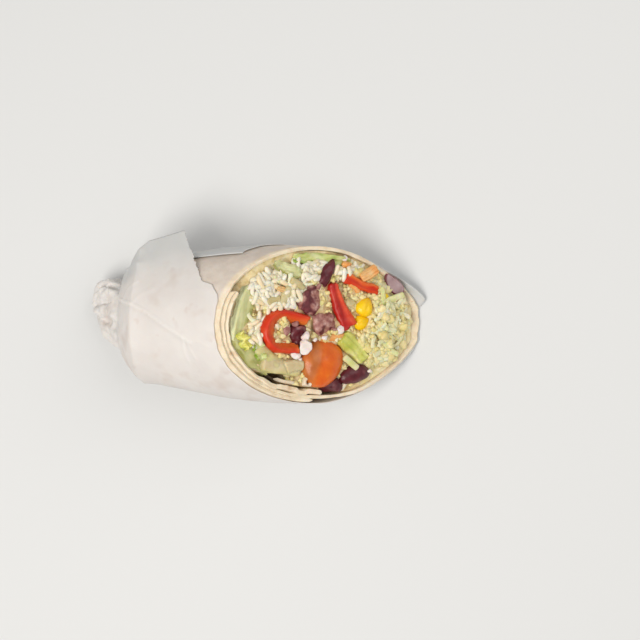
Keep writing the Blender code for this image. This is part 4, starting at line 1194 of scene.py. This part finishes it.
def makeOnionChunk():
    # a long slab with a short one across its end
    slabs, marks = [], []
    for j, (size, (du, dv, dh), turn) in enumerate(onionChunk["slabs"]):
        grid = roughen(bar(*size, 0.7, -0.16, blunt=0.07, power=3.6), 5.0, 0.4, 110 + j)
        c, s = np.cos(np.radians(turn)), np.sin(np.radians(turn))
        grid = grid @ np.array([[c, s, 0], [-s, c, 0], [0, 0, 1]]) + [du, dv, dh]
        slabs.append(tube(keepInside(place(grid, *onionChunk["where"]))))
        marks.append(padded(ease((-grid[..., 1] - 1.0) / 4.0), 2))
    marks = np.concatenate(marks)
    piece = addPiece("onion_chunk_piece", joined(slabs), finishes["onion"], ["onion_chunk"], marks)
    toppings.append(piece)


makeBits()
makeOnionChunk()

# Size is length, width, waves, height of the waves and seed. Dull moves the mark up or down.
leaves = {
    "lettuce_left": {
        "size": (27, 11.5, 0.8, 1.6, 1.0), "where": (-40.3, 5.4, 0.5, 81, 0, 12),
        "look": "leaf", "dull": -0.25,
    },
    "lettuce_low": {
        "size": (25, 9, 1.0, 1.8, 2.2), "where": (-36.2, -15.6, 0.0, -52, 0, 14),
        "look": "leaf", "dull": 0.55,
    },
    "lettuce_curled": {"size": (9, 6, 2.2, 2.6, 3.1), "where": (-39.6, -7.8, 2.6, -63), "look": "curlyLeaf"},
    "lettuce_green": {"size": (9, 6, 1.6, 2.6, 4.5), "where": (-32.1, -12.4, 2.6, -73), "look": "greenLeaf"},
    "lettuce_top": {
        "size": (30, 5.5, 1.4, 2.6, 5.2), "where": (0.3, 31.0, 0.2, -4, 0, 14), "look": "greenLeaf",
    },
    "lettuce_pale": {"size": (16, 6, 1.4, 2.2, 6.0), "where": (-17.2, 26.0, 1.6, -21), "look": "leaf"},
}


def makeLeaves():
    # both faces of each leaf are set in the cut and then joined, so that they stay alike
    for node, leaf in leaves.items():
        upper, under, mark = leafFaces(*leaf["size"])
        upper, under = (keepInside(place(grid, *leaf["where"])) for grid in (upper, under))
        shape = twoFaced(upper, under)
        mark = np.clip(mark.ravel() + leaf.get("dull", 0), 0, 1)
        marks = np.concatenate([mark, mark])
        toppings.append(addPiece(node + "_piece", shape, finishes[leaf["look"]], [node], marks))


makeLeaves()
print("pieces in the cut:", len(toppings))


def treeOf(objects):
    # a search tree over all faces of the objects
    points, faces = [], []
    for piece in objects:
        start = len(points)
        points += [v.co.copy() for v in piece.data.vertices]
        faces += [[start + i for i in f.vertices] for f in piece.data.polygons]
    return BVHTree.FromPolygons(points, faces)


ground = treeOf([fillingCore])
covers = treeOf(toppings)
scattered = {
    # patches are middle u and v, reach in u and v, and share of the pieces
    "rice": {
        "count": 560, "gap": 1.6, "look": "grain", "slot": "rice",
        "length": (5.2, 7.4), "width": (2.2, 2.8), "height": (2.0, 2.5), "bow": 0.5, "pitch": 22,
        "lift": (0.2, 1.8),
        "patches": [(-24, 17, 15, 10, 5), (-18, 26, 16, 5, 2), (-4, 27, 13, 5, 2), (-31, -4, 5, 8, 1),
                    (16, 27, 12, 4, 1), (-33, -12, 5, 4, 0.5), (10, -28, 6, 3, 0.4)],
    },
    "crumbs": {
        "count": 800, "gap": 1.4, "look": "crumb", "slot": "rice",
        "size": 1.7, "more": (1.4, 3.4), "moreBeyond": 18, "pitch": 40, "lift": (-0.3, 0.8),
        "patches": [(38, 0, 10, 18, 6), (27, -13, 12, 8, 3), (20, -27, 14, 5, 1.5), (20, 24, 14, 7, 2),
                    (29, 13, 9, 8, 2), (0, 0, 44, 30, 4)],
    },
    "shreds": {
        "count": 64, "gap": 3.6, "look": "shred", "slot": "lettuce",
        "length": (6, 12), "width": (1.3, 2.6), "height": (0.6, 1.0), "bow": 2.2, "rise": 0.8, "pitch": 16,
        "lift": (0.8, 1.8),
        "patches": [(36, 3, 9, 15, 6), (24, -14, 10, 6, 1.5), (-33, -6, 6, 12, 1), (-12, 22, 16, 6, 0.6)],
    },
}


scatterRules = {
    "reach": (48, 32), "rim": 0.93,   # the oval that they keep to, as u and v, and a share of it
    "hollow": 0.3,                    # none lies deeper in the hollow than this share
    "drawn": 6,                       # places drawn for each piece wanted, as many are too close
    "above": 25.0,                    # looked for from this height over the cut
    "clear": 0.3,                     # a larger piece covers the core where it is higher by this less
}


def scatteredPlaces(count, gap, patches):
    # random places in oval patches, each at least the gap from those before it
    weights = np.array([p[4] for p in patches], float)
    which = rng.choice(len(patches), count * scatterRules["drawn"], p=weights / weights.sum())
    chosen = np.array(patches)[which]
    far = np.sqrt(rng.uniform(0, 1, len(chosen)))
    angle = rng.uniform(0, 2 * np.pi, len(chosen))
    u = chosen[:, 0] + chosen[:, 2] * far * np.cos(angle)
    v = chosen[:, 1] + chosen[:, 3] * far * np.sin(angle)
    reach = scatterRules["reach"]
    kept = []
    for a, b in zip(u, v):
        fromMiddle = (a / reach[0]) ** 2 + (b / reach[1]) ** 2
        if fromMiddle > scatterRules["rim"] or inHole(a, b) > scatterRules["hollow"]:
            continue
        if kept and np.min(np.hypot(np.array(kept)[:, 0] - a, np.array(kept)[:, 1] - b)) < gap:
            continue
        kept.append((a, b))
        if len(kept) == count:
            break
    return kept


def seated(u, v):
    # the height of the core's face at u and v, or nothing where a larger piece covers it
    above = Vector((fromFace(np.array([u, v, scatterRules["above"]])) + toPart) / 1000)
    down = Vector(-hAxis)
    hit = ground.ray_cast(above, down)[0]
    cover = covers.ray_cast(above, down)[0]
    if hit is None:
        return None
    height = toFace(np.array(hit) * 1000 - toPart)[2]
    if cover is not None:
        if toFace(np.array(cover) * 1000 - toPart)[2] > height - scatterRules["clear"]:
            return None
    return height


def grainGrid(s, u):
    # an ellipsoid made fuller towards its ends, and a little bent
    grid = blob(*(rng.uniform(*s[key]) for key in ("length", "width", "height")), rows=10, columns=8)
    along = grid[..., 0] / np.abs(grid[..., 0]).max()
    grid[..., 1:] *= np.sqrt(1 + 0.9 * along**2)[..., None]
    grid[..., 1] += rng.uniform(-s["bow"], s["bow"]) * (1 - along**2)
    return grid


def crumbGrid(s, u):
    # puffy lumps: an ellipsoid swollen by the rounded side of folded noise, larger on the right
    more = s["more"][1] if u > s["moreBeyond"] else s["more"][0]
    size = s["size"] + more * rng.uniform() ** 2
    grid = blob(size * rng.uniform(1, 1.5), size, size * 0.8, rows=9, columns=12)
    puffs = np.abs(wobble(grid + rng.uniform(0, 90, 3), 0.38 * size + 0.3, 3))
    return grid * (0.70 + 0.95 * puffs)[..., None]


def shredGrid(s, u):
    # a bowed strip that rises to one end
    t = np.linspace(-1, 1, 7)
    length, bow = rng.uniform(*s["length"]), rng.uniform(-s["bow"], s["bow"])
    path = np.stack([t * length / 2, bow * (1 - t**2)], axis=-1)
    width, height = rng.uniform(*s["width"]), rng.uniform(*s["height"])
    return strip(path, width, height, rows=20, columns=10, rise=rng.uniform(-s["rise"], s["rise"]) * t)


def makeScattered():
    # each piece is seated on the core's face, turned at random, and given a tint and a mark of its own
    shapeOf = {"rice": grainGrid, "crumbs": crumbGrid, "shreds": shredGrid}
    for kind, s in scattered.items():
        shapes, tints, marks = [], [], []
        for u, v in scatteredPlaces(s["count"], s["gap"], s["patches"]):
            height = seated(u, v)
            if height is None:
                continue
            grid = shapeOf[kind](s, u)
            pitch, lift = rng.uniform(-s["pitch"], s["pitch"]), rng.uniform(*s["lift"])
            shapes.append(tube(keepInside(place(grid, u, v, height + lift, rng.uniform(0, 360), pitch))))
            count = len(shapes[-1][0])
            tints.append(np.full(count, rng.uniform()))
            marks.append(np.full(count, ease((rng.uniform() - 0.7) / 0.3)))
        marks, tints = np.concatenate(marks), np.concatenate(tints)
        addPiece("scattered_" + kind, joined(shapes), finishes[s["look"]], (), marks, tints)
        print(kind + ":", len(shapes))


makeScattered()

# Small pieces that lie between the larger ones: kind, size, and place in the face.
smallPieces = {
    "mauve_bits": {"look": "beanFlesh", "slot": "bean_flesh", "pieces": [
        ("lump", (5.2, 3.6, 3.0), (-18.3, -2.6, 2.6, 70)), ("lump", (3.6, 3.0, 2.6), (-14.0, 0.6, 2.8, 20)),
        ("lump", (4.6, 3.2, 2.8), (6.2, -3.0, 2.6, -30)), ("lump", (3.4, 2.4, 2.2), (-8.6, -8.8, 3.0, 10)),
        ("lump", (4.0, 2.2, 2.2), (-2.0, 18.0, 2.6, 60)),
    ]},
    "white_bits": {"look": "cheese", "slot": "cheese", "pieces": [
        ("lump", (2.8, 2.4, 2.2), (0.4, -6.2, 5.0, 10)), ("lump", (4.4, 3.4, 3.0), (8.9, -2.6, 3.8, 40)),
        ("lump", (2.2, 2.0, 1.8), (-4.6, -7.2, 4.8, 0)), ("lump", (3.0, 2.2, 2.0), (-11.6, -16.8, 2.6, 60)),
        ("lump", (2.0, 1.8, 1.6), (24.2, -22.4, 5.0, 0)), ("lump", (3.4, 2.8, 2.2), (12.0, 31.6, 1.0, 20)),
    ]},
    "peel_strips": {"look": "carrot", "slot": "carrot", "pieces": [
        ("bar", (14.0, 3.6, 2.4), (5.2, -6.8, 2.2, 8)), ("bar", (6.5, 2.6, 2.0), (16.4, 17.4, 2.6, -40)),
    ]},
    "onion_bits": {"look": "onion", "slot": "onion", "pieces": [
        ("bar", (9.5, 4.2, 2.6), (-18.6, 13.4, 2.4, 60)), ("bar", (8.0, 3.6, 2.4), (-13.4, 18.6, 2.6, -35)),
        ("bar", (6.5, 3.4, 2.2), (-25.2, 11.0, 2.4, 15)), ("lump", (6.0, 4.6, 3.4), (14.6, 10.4, 2.0, 30)),
    ]},
    "bread_bits": {"look": "flatbread", "slot": "flatbread", "pieces": [
        ("ring", (1.7, 1.6, 2.6), (-35.4, -24.6, 0.6, 20)), ("ring", (2.1, 2.0, 3.2), (-7.0, -27.4, 1.4, 80)),
        ("lump", (15.0, 3.4, 3.4), (-18.8, -28.2, 0.4, 0)),
    ]},
}


def makeSmallPieces():
    # lumps, bars and open rings, all pieces of a kind in one mesh
    for i, (name, group) in enumerate(smallPieces.items()):
        shapes, marks = [], []
        for j, (kind, size, where) in enumerate(group["pieces"]):
            if kind == "lump":
                grid = facetted(blob(*size, rows=20, columns=26) * 1.12, 9, 0.75, 130 + 9 * i + j)
                grid = roughen(grid, 1.6, 0.15, 140 + j)
            elif kind == "bar":
                grid = roughen(bar(*size, 0.8, blunt=0.08, power=2.4), 3.0, 0.25, 150 + j)
            else:
                # an open ring: radius, width and height of its band
                t = np.radians(np.linspace(0, 320, 24))
                path = np.stack([np.cos(t), 0.75 * np.sin(t)], axis=-1) * size[0]
                grid = strip(path, size[1], size[2], power=2.2)
                grid = roughen(grid, 2.0, 0.2, 160 + j)
            shapes.append(tube(keepInside(place(grid, *where))))
            marks.append(np.full(len(shapes[-1][0]), 0.25))
        addPiece(name, joined(shapes), finishes[group["look"]], (), np.concatenate(marks))


makeSmallPieces()


view = {
    "tiltX": np.radians(13.23), "tiltY": np.radians(1.77), "roll": np.radians(0.65),
    "distance": 880.0, "lens": 103.7, "sensor": 36.0, "shiftUp": 2.04,
}


def makeView():
    # the camera looks at the middle of the cut along a line tilted from straight down
    away = np.array([np.sin(view["tiltX"]), np.sin(view["tiltY"]), 0.0])
    away[2] = np.sqrt(1 - away @ away)
    right = np.cross([0.0, 1.0, 0.0], away)
    right /= np.linalg.norm(right)
    up = np.cross(away, right)
    c, s = np.cos(view["roll"]), np.sin(view["roll"])
    right, up = right * c + up * s, up * c - right * s
    spot = (cutCentre + toPart + up * view["shiftUp"] + away * view["distance"]) / 1000
    camera = bpy.data.cameras.new("camera")
    camera.lens, camera.sensor_width = view["lens"], view["sensor"]
    holder = bpy.data.objects.new("camera", camera)
    turned = Matrix(np.stack([right, up, away], axis=-1).tolist()).to_4x4()
    holder.matrix_world = Matrix.Translation(spot) @ turned
    bpy.context.scene.collection.objects.link(holder)
    bpy.context.scene.camera = holder


stage = {"reach": 2.0, "colour": (0.70, 0.71, 0.71, 1), "roughness": 0.8}


def makeFloor():
    # a flat square on the ground, in metres
    r = stage["reach"]
    mesh = bpy.data.meshes.new("floor")
    mesh.from_pydata([(-r, -r, 0), (r, -r, 0), (r, r, 0), (-r, r, 0)], [], [(0, 1, 2, 3)])
    pale = bpy.data.materials.new("floor")
    pale.use_nodes = True
    shader = pale.node_tree.nodes["Principled BSDF"]
    shader.inputs["Base Color"].default_value = stage["colour"]
    shader.inputs["Roughness"].default_value = stage["roughness"]
    mesh.materials.append(pale)
    floor = bpy.data.objects.new("floor", mesh)
    bpy.context.scene.collection.objects.link(floor)


lights = {
    "key": {"at": (-0.26, -0.32, 1.12), "size": 0.7, "power": 9.8, "colour": (1.0, 0.96, 0.91)},
    "fill": {"at": (0.72, 0.40, 0.80), "size": 0.9, "power": 3.8, "colour": (1.0, 0.98, 0.95)},
}
surround = {"colour": (0.97, 0.96, 0.95, 1), "strength": 0.42}


def makeLights():
    # two soft square lights that face the middle, and an even pale surround
    for name, light in lights.items():
        lamp = bpy.data.lights.new(name, "AREA")
        lamp.size, lamp.energy, lamp.color = light["size"], light["power"], light["colour"]
        holder = bpy.data.objects.new(name, lamp)
        holder.location = light["at"]
        holder.rotation_euler = (-Vector(light["at"])).to_track_quat("-Z", "Y").to_euler()
        bpy.context.scene.collection.objects.link(holder)
    world = bpy.data.worlds.new("studio")
    world.use_nodes = True
    background = world.node_tree.nodes["Background"]
    background.inputs["Color"].default_value = surround["colour"]
    background.inputs["Strength"].default_value = surround["strength"]
    bpy.context.scene.world = world
    bpy.context.scene.view_settings.view_transform = "Standard"


makeView()
makeFloor()
makeLights()
